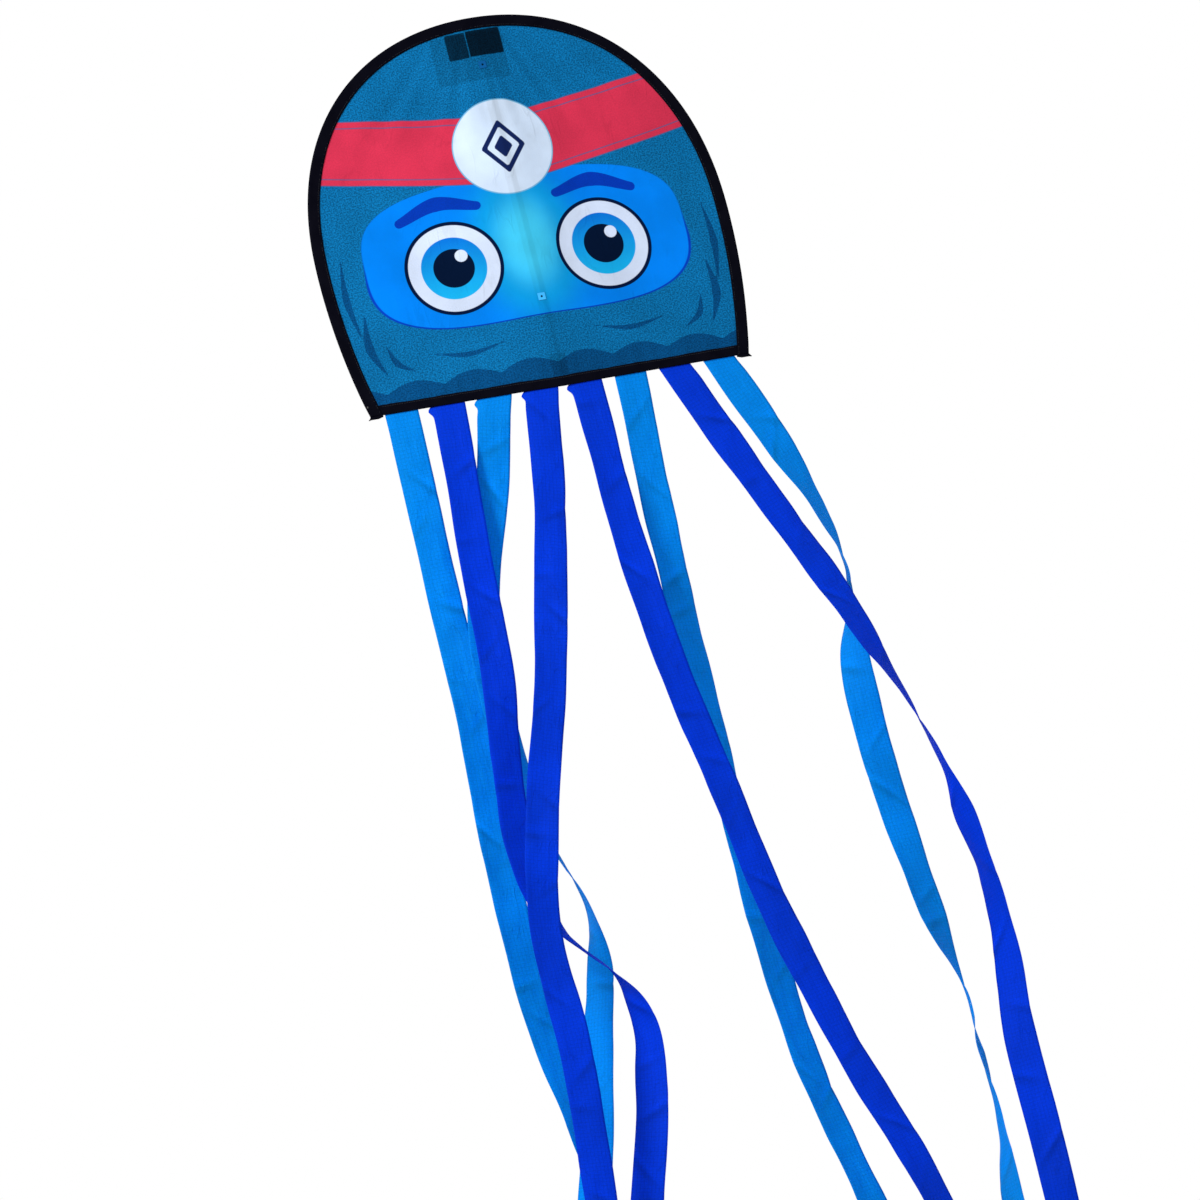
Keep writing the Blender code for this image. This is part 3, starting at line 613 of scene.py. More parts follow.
def bumped(tree, height, distance, normal=None):
    """A Bump node's normal for a relief whose full height is the distance."""
    node = tree.nodes.new("ShaderNodeBump")
    node.inputs["Distance"].default_value = distance
    tree.links.new(height, node.inputs["Height"])
    if normal is not None:
        tree.links.new(normal, node.inputs["Normal"])
    return node.outputs[0]


def new_material(name):
    """An empty node material: its tree, its Principled shader and its output."""
    made = bpy.data.materials.new(name)
    made.use_nodes = True
    tree = made.node_tree
    shader = tree.nodes["Principled BSDF"]
    return made, tree, shader, tree.nodes["Material Output"]


def see_through(tree, shader, output, tint, share):
    """Lets part of the light through a cloth: the shader mixed with a translucent one."""
    through = tree.nodes.new("ShaderNodeBsdfTranslucent")
    feed(tree, tint, through.inputs["Color"])
    mix = tree.nodes.new("ShaderNodeMixShader")
    mix.inputs[0].default_value = share
    tree.links.new(shader.outputs[0], mix.inputs[1])
    tree.links.new(through.outputs[0], mix.inputs[2])
    tree.links.new(mix.outputs[0], output.inputs["Surface"])


def scaled_by(tree, colour_in, factor):
    """A colour times a grey value that changes over the surface."""
    return blended(tree, 1.0, colour_in, grey(tree, factor), "MULTIPLY")


# ---------------------------------------------------------------- the printed face, as distance fields


def line_distance(x, height, points):
    """The distance to a line of points, and how far along it, from 0 to 1, the nearest point is."""
    nearest = np.full(np.shape(x), np.inf)
    share = np.zeros(np.shape(x))
    for index, (start, end) in enumerate(zip(points, points[1:])):
        step = end - start
        along = np.clip(((x - start[0]) * step[0] + (height - start[1]) * step[1]) / (step @ step), 0, 1)
        gap = np.hypot(x - start[0] - along * step[0], height - start[1] - along * step[1])
        share = np.where(gap < nearest, (index + along) / (len(points) - 1), share)
        nearest = np.minimum(nearest, gap)
    return nearest, share


def smooth_rows(rows, shares):
    """Reads rows of (share, values...) at other shares, along a smooth curve through every row."""
    rows = np.array(rows, float)
    at, values = rows[:, 0], rows[:, 1:]
    slopes = np.gradient(values, at, axis=0)
    index = np.clip(np.searchsorted(at, shares, side="right") - 1, 0, len(at) - 2)
    span = (at[index + 1] - at[index])[:, None]
    t = (shares - at[index])[:, None] / span
    start = values[index] * (1 + 2 * t) * (1 - t) ** 2 + slopes[index] * span * t * (1 - t) ** 2
    stop = values[index + 1] * t**2 * (3 - 2 * t) + slopes[index + 1] * span * t**2 * (t - 1)
    return start + stop


def brush(x, height, points, widths):
    """A brush stroke along a smooth line: positive inside, its half width read along the line."""
    rows = np.column_stack([np.linspace(0, 1, len(points)), points])
    gap, share = line_distance(x, height, smooth_rows(rows, np.linspace(0, 1, 24)))
    return np.interp(share, np.linspace(0, 1, len(widths)), widths) - gap


def rounded(x, height, centre, radii, power):
    """A rounded rectangle, the rounder the lower its power, down to an ellipse at 2: about the distance in
    from its edge."""
    across, up = np.abs(x - centre[0]) / radii[0], np.abs(height - centre[1]) / radii[1]
    return (1 - (across**power + up**power) ** (1 / power)) * min(radii)


def diamond(x, height, centre, radii):
    """An upright diamond: the distance in from its edge."""
    share = 1 - np.abs(x - centre[0]) / radii[0] - np.abs(height - centre[1]) / radii[1]
    return share * radii[0] * radii[1] / math.hypot(*radii)


def node_span(node):
    """A piece's box over the pattern: its left, right, lowest and highest."""
    low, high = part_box(node)
    return low[0], high[0], low[2] - HEM_Z, high[2] - HEM_Z


def within(x, height, node):
    """The distance in from the nearest side of a piece's box, seen from the front."""
    left, right, low, high = node_span(node)
    return np.minimum(np.minimum(x - left, right - x), np.minimum(height - low, high - height))


# The printed shapes: points are (across, height) over the hem, and a brush line has its half widths beside it
INK_EDGE = 0.0005
SHADOW_EDGE = 0.0008
DISC_CENTRE = (0.0, 0.339)
DISC_RADIUS = 0.0655
DISC_RIM = 0.0016
MARK_RADII = (0.030, 0.038)
MARK_LINE = 0.0062
MARK_CORE = 0.0135
OPENING_CENTRE = (0, 0.203)
OPENING_RADII = (0.217, 0.100)
OPENING_POWER = 3.2
OPENING_LINE = 0.0016
GLOW_HEIGHT = 0.205
GLOW_RADII = (0.062, 0.090)
EYE_OUT, EYE_HEIGHT = 0.102, 0.188
EYE_RADIUS = 0.060
EYE_LINE = 0.0048
IRIS_RADIUS = 0.043
PUPIL_RADIUS = 0.027
GLINT_SHIFT = (0.013, 0.015)
GLINT_RADIUS = 0.0085
BROW_WIDTHS = (0.0060, 0.0100, 0.0060)
BROW = ((0.158, 0.262), (0.106, 0.279), (0.054, 0.266))
SIDE_FOLDS = (
    (((0.246, 0.226), (0.250, 0.170), (0.242, 0.112)), (0.0006, 0.0050, 0.0008)),
    (((0.232, 0.150), (0.236, 0.100), (0.222, 0.060)), (0.0006, 0.0060, 0.0010)),
    (((0.214, 0.100), (0.206, 0.074), (0.184, 0.058)), (0.0006, 0.0044, 0.0008)),
    (((0.160, 0.078), (0.110, 0.068), (0.060, 0.076)), (0.0005, 0.0038, 0.0006)),
)


BAND_ROUND = 0.02
BAND_LOW = (0.285, 0.195)
BAND_HIGH = (0.379, 0.170)
BAND_LINE = 0.0012
BAND_STRIPE_INSET = 0.0085
SCALLOP_WIDTH = 0.076
SCALLOP_LOW = 0.034
SCALLOP_RISE = 0.012


def band_field(x, height):
    """The headband between two lines, each (height, slope), that rise to both sides from a round middle."""
    out = np.sqrt(np.square(x) + BAND_ROUND**2)
    low, high = (start + slope * out for start, slope in (BAND_LOW, BAND_HIGH))
    return np.minimum(height - low, high - height)


def hood_fold_field(x, height):
    """Gathers drawn as tapering strokes, alike on both sides, over a darker band with even scallops."""
    out = np.abs(x)
    strokes = [brush(out, height, np.array(points), widths) for points, widths in SIDE_FOLDS]
    scallops = SCALLOP_LOW + SCALLOP_RISE * np.abs(np.sin(x * math.pi / SCALLOP_WIDTH))
    return np.maximum(np.max(strokes, axis=0), scallops - height)


def face_fields(x, height):
    """A plain face, alike on both sides: every printed shape as a distance that is positive inside it.

    The opening is one rounded rectangle, brightest in its middle. Each eye is three circles about one centre
    with a small glint, each brow is a short arch, and the mark is the outline of a diamond round its core.
    """
    out, up = np.abs(x), height - EYE_HEIGHT
    from_eye = np.hypot(out - EYE_OUT, up)
    glints = [
        GLINT_RADIUS - np.hypot(x - eye - GLINT_SHIFT[0], up - GLINT_SHIFT[1]) for eye in (-EYE_OUT, EYE_OUT)
    ]
    mark = diamond(x, height, DISC_CENTRE, MARK_RADII)
    return {
        "opening": rounded(x, height, OPENING_CENTRE, OPENING_RADII, OPENING_POWER),
        "glow": np.exp(-np.square(x / GLOW_RADII[0]) - np.square((height - GLOW_HEIGHT) / GLOW_RADII[1])),
        "hood_fold": hood_fold_field(x, height),
        "band": band_field(x, height),
        "disc": DISC_RADIUS - np.hypot(x - DISC_CENTRE[0], height - DISC_CENTRE[1]),
        "mark": np.maximum(np.minimum(mark, MARK_LINE - mark), mark - MARK_CORE),
        "eye": EYE_RADIUS - from_eye,
        "iris": IRIS_RADIUS - from_eye,
        "iris_height": up / (2 * IRIS_RADIUS) + 0.5,
        "pupil": PUPIL_RADIUS - from_eye,
        "glint": np.maximum(*glints),
        "brow": brush(out, height, np.array(BROW), BROW_WIDTHS),
    }


def sail_fields(x, height):
    """The printed shapes, the painted shadow along the spine's far side, and the painted shadows of the
    cloths sewn behind, seen through the sail.
    """
    fields = face_fields(x, height)
    # Painted shade: darker just right of the spine's crease, fading out over a few centimetres
    fields["painted_spine_shade"] = rise(-0.001, 0.002, x) * np.exp(-np.clip(x, 0, 1) / 0.024)
    # Painted shadow: each cloth sewn behind the sail gets a field for the darkening it casts through the sail
    for node in PAINTED_SHOW_THROUGH_SHADE:
        fields["painted_shadow_of_" + node] = within(x, height, node)
    return fields


# ---------------------------------------------------------------- materials


def sail_cloth():
    """Printed polyester: each printed shape is a distance that the mesh carries, inked where it is positive.
    Each ink lies over those before it."""
    inks, cloth = bpy.context.scene.kite_print, bpy.context.scene.kite_cloth
    made, tree, shader, output = new_material("printed sail cloth")
    place = cloth_place(tree)
    grain = grouped(tree, cloth_grain, Place=place, Fine=520.0, Broad=11.0)
    weave = grouped(tree, plain_weave, Place=place, Pitch=cloth.weave, Grid=1.0, Thread=1e-6)
    creases = grouped(tree, crumples, Place=place, Lumps=26.0, Sharp=0.018)

    def speckled(base, darker, lighter):
        dark, light = (tuple(c * share for c in base) for share in (darker, lighter))
        return blended(tree, grain["Speckle"], dark, light)

    glow = field(tree, "glow")
    face = blended(tree, ranged(tree, glow, 0.05, 0.50), inks.opening, inks.opening_mid)
    face = blended(tree, ranged(tree, glow, 0.42, 0.98), face, inks.glow)
    up = tree.nodes.new("ShaderNodeSeparateXYZ")
    tree.links.new(place, up.inputs[0])
    line_under = ranged(tree, up.outputs[1], 0.17, 0.23, OPENING_LINE, 0.0)
    iris = blended(tree, field(tree, "iris_height"), inks.iris_low, inks.iris_high)
    from_stripe = sums(tree, "ABSOLUTE", sums(tree, "SUBTRACT", field(tree, "band"), BAND_STRIPE_INSET))
    stripe = ranged(tree, from_stripe, 0.0005, 0.0013, 0.75, 0.0)
    band = blended(tree, stripe, speckled(inks.band, 0.94, 1.05), inks.band_edge)
    ground = speckled(inks.hood, 0.62, 1.38)
    for name, grown, tint in (
        ("hood_fold", 0.0, speckled(inks.hood_fold, 0.66, 1.34)),
        ("opening", line_under, inks.line), ("opening", 0.0, face),
        ("eye", EYE_LINE, inks.outline), ("eye", 0.0, inks.eye), ("iris", 0.0, iris),
        ("pupil", 0.0, inks.pupil), ("glint", 0.0, inks.eye), ("brow", 0.0, speckled(inks.brow, 0.92, 1.08)),
        ("band", BAND_LINE, inks.band_edge), ("band", 0.0, band),
        ("disc", DISC_RIM, inks.disc_edge), ("disc", 0.0, inks.disc), ("mark", 0.0, inks.mark),
    ):
        inside = sums(tree, "ADD", field(tree, name), grown)
        ground = blended(tree, ranged(tree, inside, -INK_EDGE, INK_EDGE), ground, tint)

    shades = [sums(tree, "ADD", 0.91, product(tree, grain["Cloudy"], 0.17))]
    # Painted shadow of the cloths sewn behind the sail, darker inside each one's box
    for node, darkening in PAINTED_SHOW_THROUGH_SHADE.items():
        behind = field(tree, "painted_shadow_of_" + node)
        shades.append(ranged(tree, behind, -SHADOW_EDGE, SHADOW_EDGE, 1.0, 1.0 - darkening))
    # Painted shade along the crests of the packing creases
    shades.append(ranged(tree, creases["Line"], 0, 1, 1.0, 0.95))
    # Painted shade along the right side of the spine's crease
    shades.append(ranged(tree, field(tree, "painted_spine_shade"), 0, 1, 1.0, 0.84, smooth=False))
    # Painted shade: a dark spot at each bridle hole, since the sail's mesh itself has no hole
    for height in BRIDLE_HEIGHTS:
        gap = tree.nodes.new("ShaderNodeVectorMath")
        gap.operation = "DISTANCE"
        tree.links.new(place, gap.inputs[0])
        gap.inputs[1].default_value = (0, height, 0)
        shades.append(ranged(tree, gap.outputs[1], BRIDLE_HOLE_RADIUS * 0.7, BRIDLE_HOLE_RADIUS, 0.08, 1.0))
    ground = scaled_by(tree, ground, product(tree, *shades))
    tree.links.new(ground, shader.inputs["Base Color"])
    feed(tree, ranged(tree, grain["Speckle"], 0, 1, 0.70, 0.84), shader.inputs["Roughness"])
    shader.inputs["Specular IOR Level"].default_value = 0.03
    folds = bumped(tree, creases["Height"], 0.0006)
    rough = bumped(tree, grain["Speckle"], 0.00006, folds)
    tree.links.new(bumped(tree, weave["Height"], 0.00007, rough), shader.inputs["Normal"])
    see_through(tree, shader, output, ground, 0.24)
    return made


def ripstop(name, base):
    """Streamer cloth: thin, with a grid of thicker threads and the sharp creases of a folded strip, with
    painted shade along the crease crests and a painted lighter and darker side at each packing crease.
    """
    cloth = bpy.context.scene.kite_cloth
    made, tree, shader, output = new_material(name)
    place = cloth_place(tree)
    grain = grouped(tree, cloth_grain, Place=place, Fine=420.0, Broad=7.0)
    weave = grouped(tree, plain_weave, Place=place, Pitch=cloth.weave, Grid=cloth.ripstop, Thread=0.07)
    creases = grouped(tree, crumples, Place=place, Lumps=44.0, Sharp=0.016)
    # Painted light and shade: each packing crease is painted darker on one side and lighter on the other
    painted_crease_light = field(tree, "crease")
    shade = product(
        tree,
        sums(tree, "ADD", 0.90, product(tree, grain["Cloudy"], 0.14)),
        ranged(tree, weave["Lines"], 0, 1, 1.0, 0.74),
        # Painted shade along the crests of the packing creases
        ranged(tree, creases["Line"], 0, 1, 1.0, 0.93),
        ranged(tree, grain["Speckle"], 0, 1, 0.94, 1.06),
        ranged(tree, painted_crease_light, -1, 0, 0.66, 1.0, smooth=False),
        ranged(tree, painted_crease_light, 0, 1, 1.0, 1.18, smooth=False),
    )
    tint = scaled_by(tree, tuple(base), shade)
    tree.links.new(tint, shader.inputs["Base Color"])
    feed(tree, ranged(tree, grain["Cloudy"], 0, 1, 0.50, 0.66), shader.inputs["Roughness"])
    shader.inputs["Specular IOR Level"].default_value = 0.04
    folds = bumped(tree, creases["Height"], 0.0011)
    tree.links.new(bumped(tree, weave["Height"], 0.00010, folds), shader.inputs["Normal"])
    see_through(tree, shader, output, tint, 0.38)
    return made


def woven_tape(name, base, pitch, grow=1.35):
    """Binding tape and plain patches: a coarser weave, a little lighter where it is rubbed."""
    made, tree, shader, _ = new_material(name)
    place = cloth_place(tree)
    grain = grouped(tree, cloth_grain, Place=place, Fine=900.0, Broad=40.0)
    weave = grouped(tree, plain_weave, Place=place, Pitch=pitch, Grid=1.0, Thread=1e-6)
    rubbed = product(tree, grain["Cloudy"], weave["Height"])
    lighter = tuple(min(c * grow + 0.002, 1.0) for c in base)
    tree.links.new(blended(tree, rubbed, tuple(base), lighter), shader.inputs["Base Color"])
    feed(tree, ranged(tree, grain["Speckle"], 0, 1, 0.74, 0.92), shader.inputs["Roughness"])
    shader.inputs["Specular IOR Level"].default_value = 0.03
    slow = bumped(tree, grain["Cloudy"], 0.00025)
    tree.links.new(bumped(tree, weave["Height"], 0.00012, slow), shader.inputs["Normal"])
    return made


def object_place(tree, stretch=(1, 1, 1)):
    """Object coordinates, stretched along the axes."""
    here = tree.nodes.new("ShaderNodeTexCoord")
    turned = tree.nodes.new("ShaderNodeMapping")
    turned.inputs["Scale"].default_value = stretch
    tree.links.new(here.outputs["Object"], turned.inputs["Vector"])
    return turned.outputs[0]


def hard_finish(name, base, rough, lumps, bump, metallic=0.0, stretch=(1, 1, 1), worn=1.4):
    """Rods, caps, thread and ferrule: fine streaks or grain in colour, gloss and relief."""
    made, tree, shader, _ = new_material(name)
    place = object_place(tree, stretch)
    fine = noise(tree, place, lumps, 3.0, 0.6)
    broad = noise(tree, place, lumps / 9, 2.0)
    streaks = ranged(tree, fine, 0.3, 0.7)
    rubbed = product(tree, streaks, ranged(tree, broad, 0.35, 0.65))
    lighter = tuple(min(c * worn, 1) for c in base)
    tree.links.new(blended(tree, rubbed, base, lighter), shader.inputs["Base Color"])
    feed(tree, ranged(tree, broad, 0.3, 0.7, rough * 0.8, rough * 1.25), shader.inputs["Roughness"])
    shader.inputs["Metallic"].default_value = metallic
    tree.links.new(bumped(tree, streaks, bump), shader.inputs["Normal"])
    return made


# ---------------------------------------------------------------- the pieces


def cloth_piece(piece, node, slot, body="head", **declared):
    """Puts a sheet on its body in place of its plain solid."""
    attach(piece, body)
    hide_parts(node)


def paired(first, second):
    """Two arrays side by side, as points of the flat cloth."""
    return np.stack(np.broadcast_arrays(first, second), axis=-1)


# The share of the head's edge, from each end, that is a side of the sail's net
SIDE_SHARE = 0.37


def sail_grid(columns, rows):
    """Four edges joined into one net: the hem below, both sides, and the crown between them above.

    Each point is the mean of the lines between opposite edges, less the corners' own plane.
    """
    edge = edge_line(SAIL_INSET, 1600)
    run = np.linspace(0, 1, len(edge))
    side = SIDE_SHARE

    def at(shares):
        return np.stack([np.interp(shares, run, column) for column in edge.T], axis=-1)

    u, v = np.meshgrid(np.linspace(0, 1, columns), np.linspace(0, 1, rows))
    u, v = u[..., None], v[..., None]
    lift = TAPE_THICKNESS + CLEARANCE
    corner_x = edge[0][0]
    hem_x = (2 * u[..., 0] - 1) * corner_x
    share = np.abs(hem_x) / corner_x
    hem = np.stack([hem_x, hem_height(hem_x) + lift], axis=-1)
    right, left = at(side * v[..., 0]), at(1 - side * v[..., 0])
    right[..., 1] += lift * (1 - v[..., 0])
    left[..., 1] += lift * (1 - v[..., 0])
    top = at(1 - side - (1 - 2 * side) * u[..., 0])
    low_corners = (1 - u) * (1 - v) * left[0, 0] + u * (1 - v) * right[0, 0]
    high_corners = (1 - u) * v * left[-1, 0] + u * v * right[-1, 0]
    return (1 - v) * hem + v * top + (1 - u) * left + u * right - low_corners - high_corners


def make_sail():
    """The printed cloth: the net of its four edges, bellied and puckered, with the print's fields on it."""
    net = sail_grid(208, 186)
    x, height = net[..., 0], net[..., 1]
    sail = surface("sail_cloth", on_sail(x, 0.0, height), net, sail_cloth(), fields=sail_fields(x, height))
    thickened(sail, SAIL_THICKNESS * 0.6, -1.0)
    right, up = net[:-1, 1:] - net[:-1, :-1], net[1:, :-1] - net[:-1, :-1]
    area = float(np.sum(right[..., 0] * up[..., 1] - right[..., 1] * up[..., 0]))
    flat = (2 * (HALF_WIDTH - SAIL_INSET), NOSE_HEIGHT - SAIL_INSET)
    cloth_piece(sail, "sail", "printed_sail_cloth", flat=flat, area=area, held="stretched",
                rests_on=["edge_sleeve", "hem_tape"])


def fold_profile(width, radius, lip):
    """A folded tape's middle line as (inset, depth): in from one lip, round the fold and back out."""
    turn = np.linspace(-math.pi / 2, math.pi / 2, 13)
    fold = np.stack([radius * (1 - np.cos(turn)), radius * np.sin(turn)], axis=1)
    lips = np.linspace(width, radius, 7)[:-1]
    share = (lips - radius) / (width - radius)
    front = np.stack([lips, -(radius + (lip - radius) * share**0.6)], axis=1)
    return np.concatenate([front, fold, front[::-1] * (1, -1)])


def kept(name, make, *values):
    """A material by its name, made the first time it is asked for."""
    return bpy.data.materials.get(name) or make(name, *values)


def binding():
    """The black tape round the head and on the pockets."""
    return kept("binding tape", woven_tape, bpy.context.scene.kite_cloth.tape, 0.0007, 1.6)


def patch_cloth():
    """The plain blue cloth of the patches and the spine's sleeve."""
    return kept("patch cloth", woven_tape, bpy.context.scene.kite_cloth.patch, 0.0005)


def black_thread():
    """Sewing thread: matt, with fine twist."""
    return kept("black thread", hard_finish, ink(20, 20, 26), 0.7, 2500, 0.00003)


def blue_thread():
    """The same thread in the colour of the patches."""
    return kept("blue thread", hard_finish, ink(10, 74, 128), 0.7, 2500, 0.00003)


def sewn(name, rows, colour_of):
    """The stitches of one seam as one piece on the head."""
    seam = stitching(name, rows, bpy.context.scene.kite_cloth.stitch, colour_of)
    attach(seam, "head")
    return seam


def seam_row(line, depth, face=1.0):
    """A line over the pattern as a row of stitches at a depth; they face the back, or the front with -1."""
    return on_sail(line[:, 0], depth, line[:, 1]), np.tile((0.0, face, 0.0), (len(line), 1))


def tape_seam(line, depth):
    """Two rows of stitches along a line, one on the front of the head and one on the back."""
    return [seam_row(line, MIDDLE + face * depth, face) for face in (-1.0, 1.0)]


def make_edge_tape():
    """The tape folded over the rods round the head, drawn in a little at every stitch."""
    count = 720
    half = TAPE_THICKNESS / 2
    profile = fold_profile(SLEEVE_WIDTH - half, SLEEVE_HALF - half, LIP_DEPTH)
    lines = np.stack([edge_line(inset + half, count) for inset, _ in profile], axis=1)
    length_round = float(run_along(edge_line(0, 2000))[-1])
    run = np.linspace(0, length_round, count)[:, None]
    inset, depth = profile[:, 0][None], profile[:, 1][None]
    wave = 0.00018 * np.sin(run / 0.0011 + np.sin(run / 0.07)) * np.exp(-np.square((inset - 0.0125) / 0.003))
    wave = wave + 0.00035 * np.sin(run / 0.0093) * np.sin(run / 0.041) * rise(0.003, 0.008, inset)
    depth = depth + np.sign(depth) * np.abs(wave)
    points = on_sail(lines[..., 0], MIDDLE + depth, lines[..., 1])
    across = run_along(profile)
    sleeve = surface("edge_tape", points, paired(across, run), binding())
    thickened(sleeve, TAPE_THICKNESS)
    rows = tape_seam(edge_line(SLEEVE_WIDTH - EDGE_SEAM_INSET, 1400), LIP_DEPTH + half + THREAD_GAP)
    seam = sewn("edge_stitches", rows, black_thread())
    cloth_piece(sleeve, "edge_sleeve", "black_tape", flat=(float(across[-1]), length_round), held="folded",
                rests_on=["sail_cloth", "bow_rod_left"], with_pieces=[seam])


def make_hem_tape():
    """The tape folded up round the hem, with a stitch line on both faces and one over the streamers' tops."""
    low = float(hem_height(side_x(0, SLEEVE_WIDTH)))
    end = float(side_x(low, SLEEVE_WIDTH)) - CLEARANCE
    profile = fold_profile(HEM_TAPE_WIDTH - TAPE_THICKNESS, LIP_DEPTH, LIP_DEPTH)
    inset, depth = profile[:, 0][None], profile[:, 1][None]
    x = np.linspace(-1, 1, 420)[:, None] * (side_x(low + inset, SLEEVE_WIDTH) - THREAD_GAP)
    wave = 0.00016 * np.sin(x / 0.0012) * np.exp(-np.square((inset - 0.0105) / 0.003))
    ragged = 0.0003 * np.sin(x / 0.0133) * rise(0.003, 0.012, inset)
    height = hem_height(x) + inset + TAPE_THICKNESS / 2 + ragged
    points = on_sail(x, MIDDLE + depth + np.sign(depth) * np.abs(wave), height)
    across = run_along(profile)
    hem = surface("hem_binding", points, paired(across, x), binding(), turned=True)
    thickened(hem, TAPE_THICKNESS)
    x = np.linspace(SEAM_END - end, end - SEAM_END, 900)
    line = paired(x, hem_height(x) + HEM_TAPE_WIDTH - HEM_SEAM_INSET)
    rows = tape_seam(line, LIP_DEPTH + TAPE_THICKNESS / 2 + THREAD_GAP)
    half = STREAMER_WIDTH / 2 - SEAM_END
    for number in LIES:
        middle = SEAMS[f"streamer_{number}"]["pos_m"][0]
        x = np.linspace(middle - half, middle + half, 90)
        line = paired(x, hem_height(x) + ROOT_SEAM_HEIGHT)
        rows.append(seam_row(line, MIDDLE + ROOT_DEPTH + STREAMER_THICKNESS / 2 + THREAD_GAP))
    seam = sewn("hem_stitches", rows, black_thread())
    cloth_piece(hem, "hem_tape", "black_tape", flat=(float(across[-1]), 2 * end), held="folded",
                rests_on=["sail_cloth"], with_pieces=[seam])


def make_corner_folds():
    """The tape ends under each corner, folded in two: a fold carried outwards, which gets thinner and lower
    past the sleeve and ends in a point level with the fold."""
    profile = fold_profile(CORNER_WIDTH, CORNER_RADIUS, CORNER_LIP)
    across = run_along(profile)
    share = np.linspace(0, 1, 48)[:, None]
    for word, outer in (("left", 1 - share), ("right", share)):
        left, right, _, _ = node_span(f"corner_tab_{word}")
        x = left + (right - left) * share
        past = rise(0.80, 1.0, outer)
        inset, depth = profile[:, 0][None], profile[:, 1][None] * (1 - 0.6 * past)
        bottom = hem_height(x) - CORNER_DROP - 0.0006 * past
        height = bottom + inset * (1 - 0.86 * past) + 0.0016 * rise(0.35, 0.0, outer)
        points = swept(x, MIDDLE + depth, height)
        fold = surface(f"corner_fold_{word}", points, paired(across, x), binding(), turned=True)
        thickened(fold, TAPE_THICKNESS)
        flat = (max(float(across[-1]), 0.01), right - left)
        cloth_piece(fold, f"corner_tab_{word}", "black_tape", flat=flat, held="folded",
                    rests_on=["edge_tape"])


def flat_piece(name, node, slot, material, points, **declared):
    """A flat cut of cloth as a sheet; points are its net's x, depth behind the sail and height."""
    x, depth, height = points
    made = surface(name, on_sail(x, depth, height), paired(x, height), material)
    thickened(made, PATCH_THICKNESS)
    left, right, low, high = node_span(node)
    cloth_piece(made, node, slot, flat=(right - left, high - low), **declared)


def spread(node, columns, rows, shut=0):
    """A net over a piece's box. shut packs its rows closer at its upper end (1) or its lower end (-1)."""
    left, right, low, high = node_span(node)
    share = np.linspace(0, 1, rows)
    if shut:
        share = np.concatenate([np.linspace(0, 0.94, rows - 10)[:-1], np.linspace(0.94, 1, 11)])
    if shut < 0:
        share = 1 - share[::-1]
    return np.meshgrid(np.linspace(left, right, columns), low + (high - low) * share)


def seam_round(node, inset, depth, sides):
    """A row of stitches along some sides of a piece's box: 0 left, 1 top, 2 right, 3 bottom."""
    left, right, low, high = node_span(node)
    left, right, low, high = left + inset, right - inset, low + inset, high - inset
    corners = np.array([(left, low), (left, high), (right, high), (right, low), (left, low)])
    return [seam_row(evenly(corners[side:side + 2], 60), depth) for side in sides]


def make_patches():
    """The cloth patch behind the nose and the two small bridle patches, each with its round hole."""
    pale = kept("pale patch cloth", woven_tape, bpy.context.scene.kite_cloth.pale_patch, 0.0005)
    rows = seam_round("nose_patch", 0.002, PATCH_FRONT + PATCH_THICKNESS + 2 * THREAD_GAP, (0, 1, 2, 3))
    seam = sewn("nose_patch_stitches", rows, blue_thread())
    x, height = spread("nose_patch", 64, 44)
    flat_piece("nose_reinforcement", "nose_patch", "patch_cloth", patch_cloth(),
               (x, PATCH_FRONT + PATCH_THICKNESS / 2, height), held="laid", rests_on=["sail_cloth"],
               with_pieces=[seam])
    turn = np.linspace(0, 2 * math.pi, 33)[:-1]
    rim = paired(np.cos(turn), np.sin(turn))
    share = np.linspace(0, 1, 8)[:, None, None]
    for word, made_of, slot in (("lower", pale, "pale_patch"), ("upper", patch_cloth(), "patch_cloth")):
        left, right, low, high = node_span(f"bridle_patch_{word}")
        half, centre = (right - left) / 2, (low + high) / 2
        square = rim / np.max(np.abs(rim), axis=-1, keepdims=True) * half
        net = BRIDLE_HOLE_RADIUS * rim * (1 - share) + square * share
        points = on_sail(net[..., 0], -CLEARANCE - PATCH_THICKNESS / 2, centre + net[..., 1])
        place = np.concatenate([net, net[:, :1]], axis=1)
        patch = surface(f"bridle_reinforcement_{word}", points, place, made_of, wraps=True)
        thickened(patch, PATCH_THICKNESS)
        width = round(2 * half, 4)
        cloth_piece(patch, f"bridle_patch_{word}", slot, flat=(width, width), held="laid",
                    rests_on=["sail_cloth"])


def make_pockets():
    """The two pockets that hold the spine's ends: flat cloth with a hump over the cap, shut at one end."""
    pockets = (("nose", 1, (0, 1, 2), "nose_reinforcement"), ("hem", -1, (0, 2, 3), "sail_cloth"))
    for word, shut, sides, under in pockets:
        node = f"{word}_pocket"
        x, height = spread(node, 72, 44, shut)
        _, _, low, high = node_span(node)
        to_shut = high - height if shut > 0 else height - low
        to_open = height - low if shut > 0 else high - height
        flat = POCKET_FRONT + PATCH_THICKNESS / 2
        hump = SPINE_BACK + CAP_RADIUS + CLEARANCE + PATCH_THICKNESS / 2 - flat
        over = np.exp(-np.abs(x / (0.0034 + 0.06 * np.clip(to_open, 0, 0.012))) ** 3)
        over *= rise(0, 0.0008, to_shut)
        slack = 0.0004 * np.sin(height / 0.0041 + x / 0.006)
        slack *= rise(0.004, 0.010, np.abs(x)) * rise(0, 0.01, to_open)
        rows = seam_round(node, 0.0016, flat + PATCH_THICKNESS / 2 + THREAD_GAP, sides)
        seam = sewn(f"{word}_pocket_stitches", rows, black_thread())
        flat_piece(f"{word}_end_pocket", node, "black_tape", binding(),
                   (x, flat + hump * over + np.abs(slack), height), held="laid", rests_on=[under],
                   with_pieces=[seam])


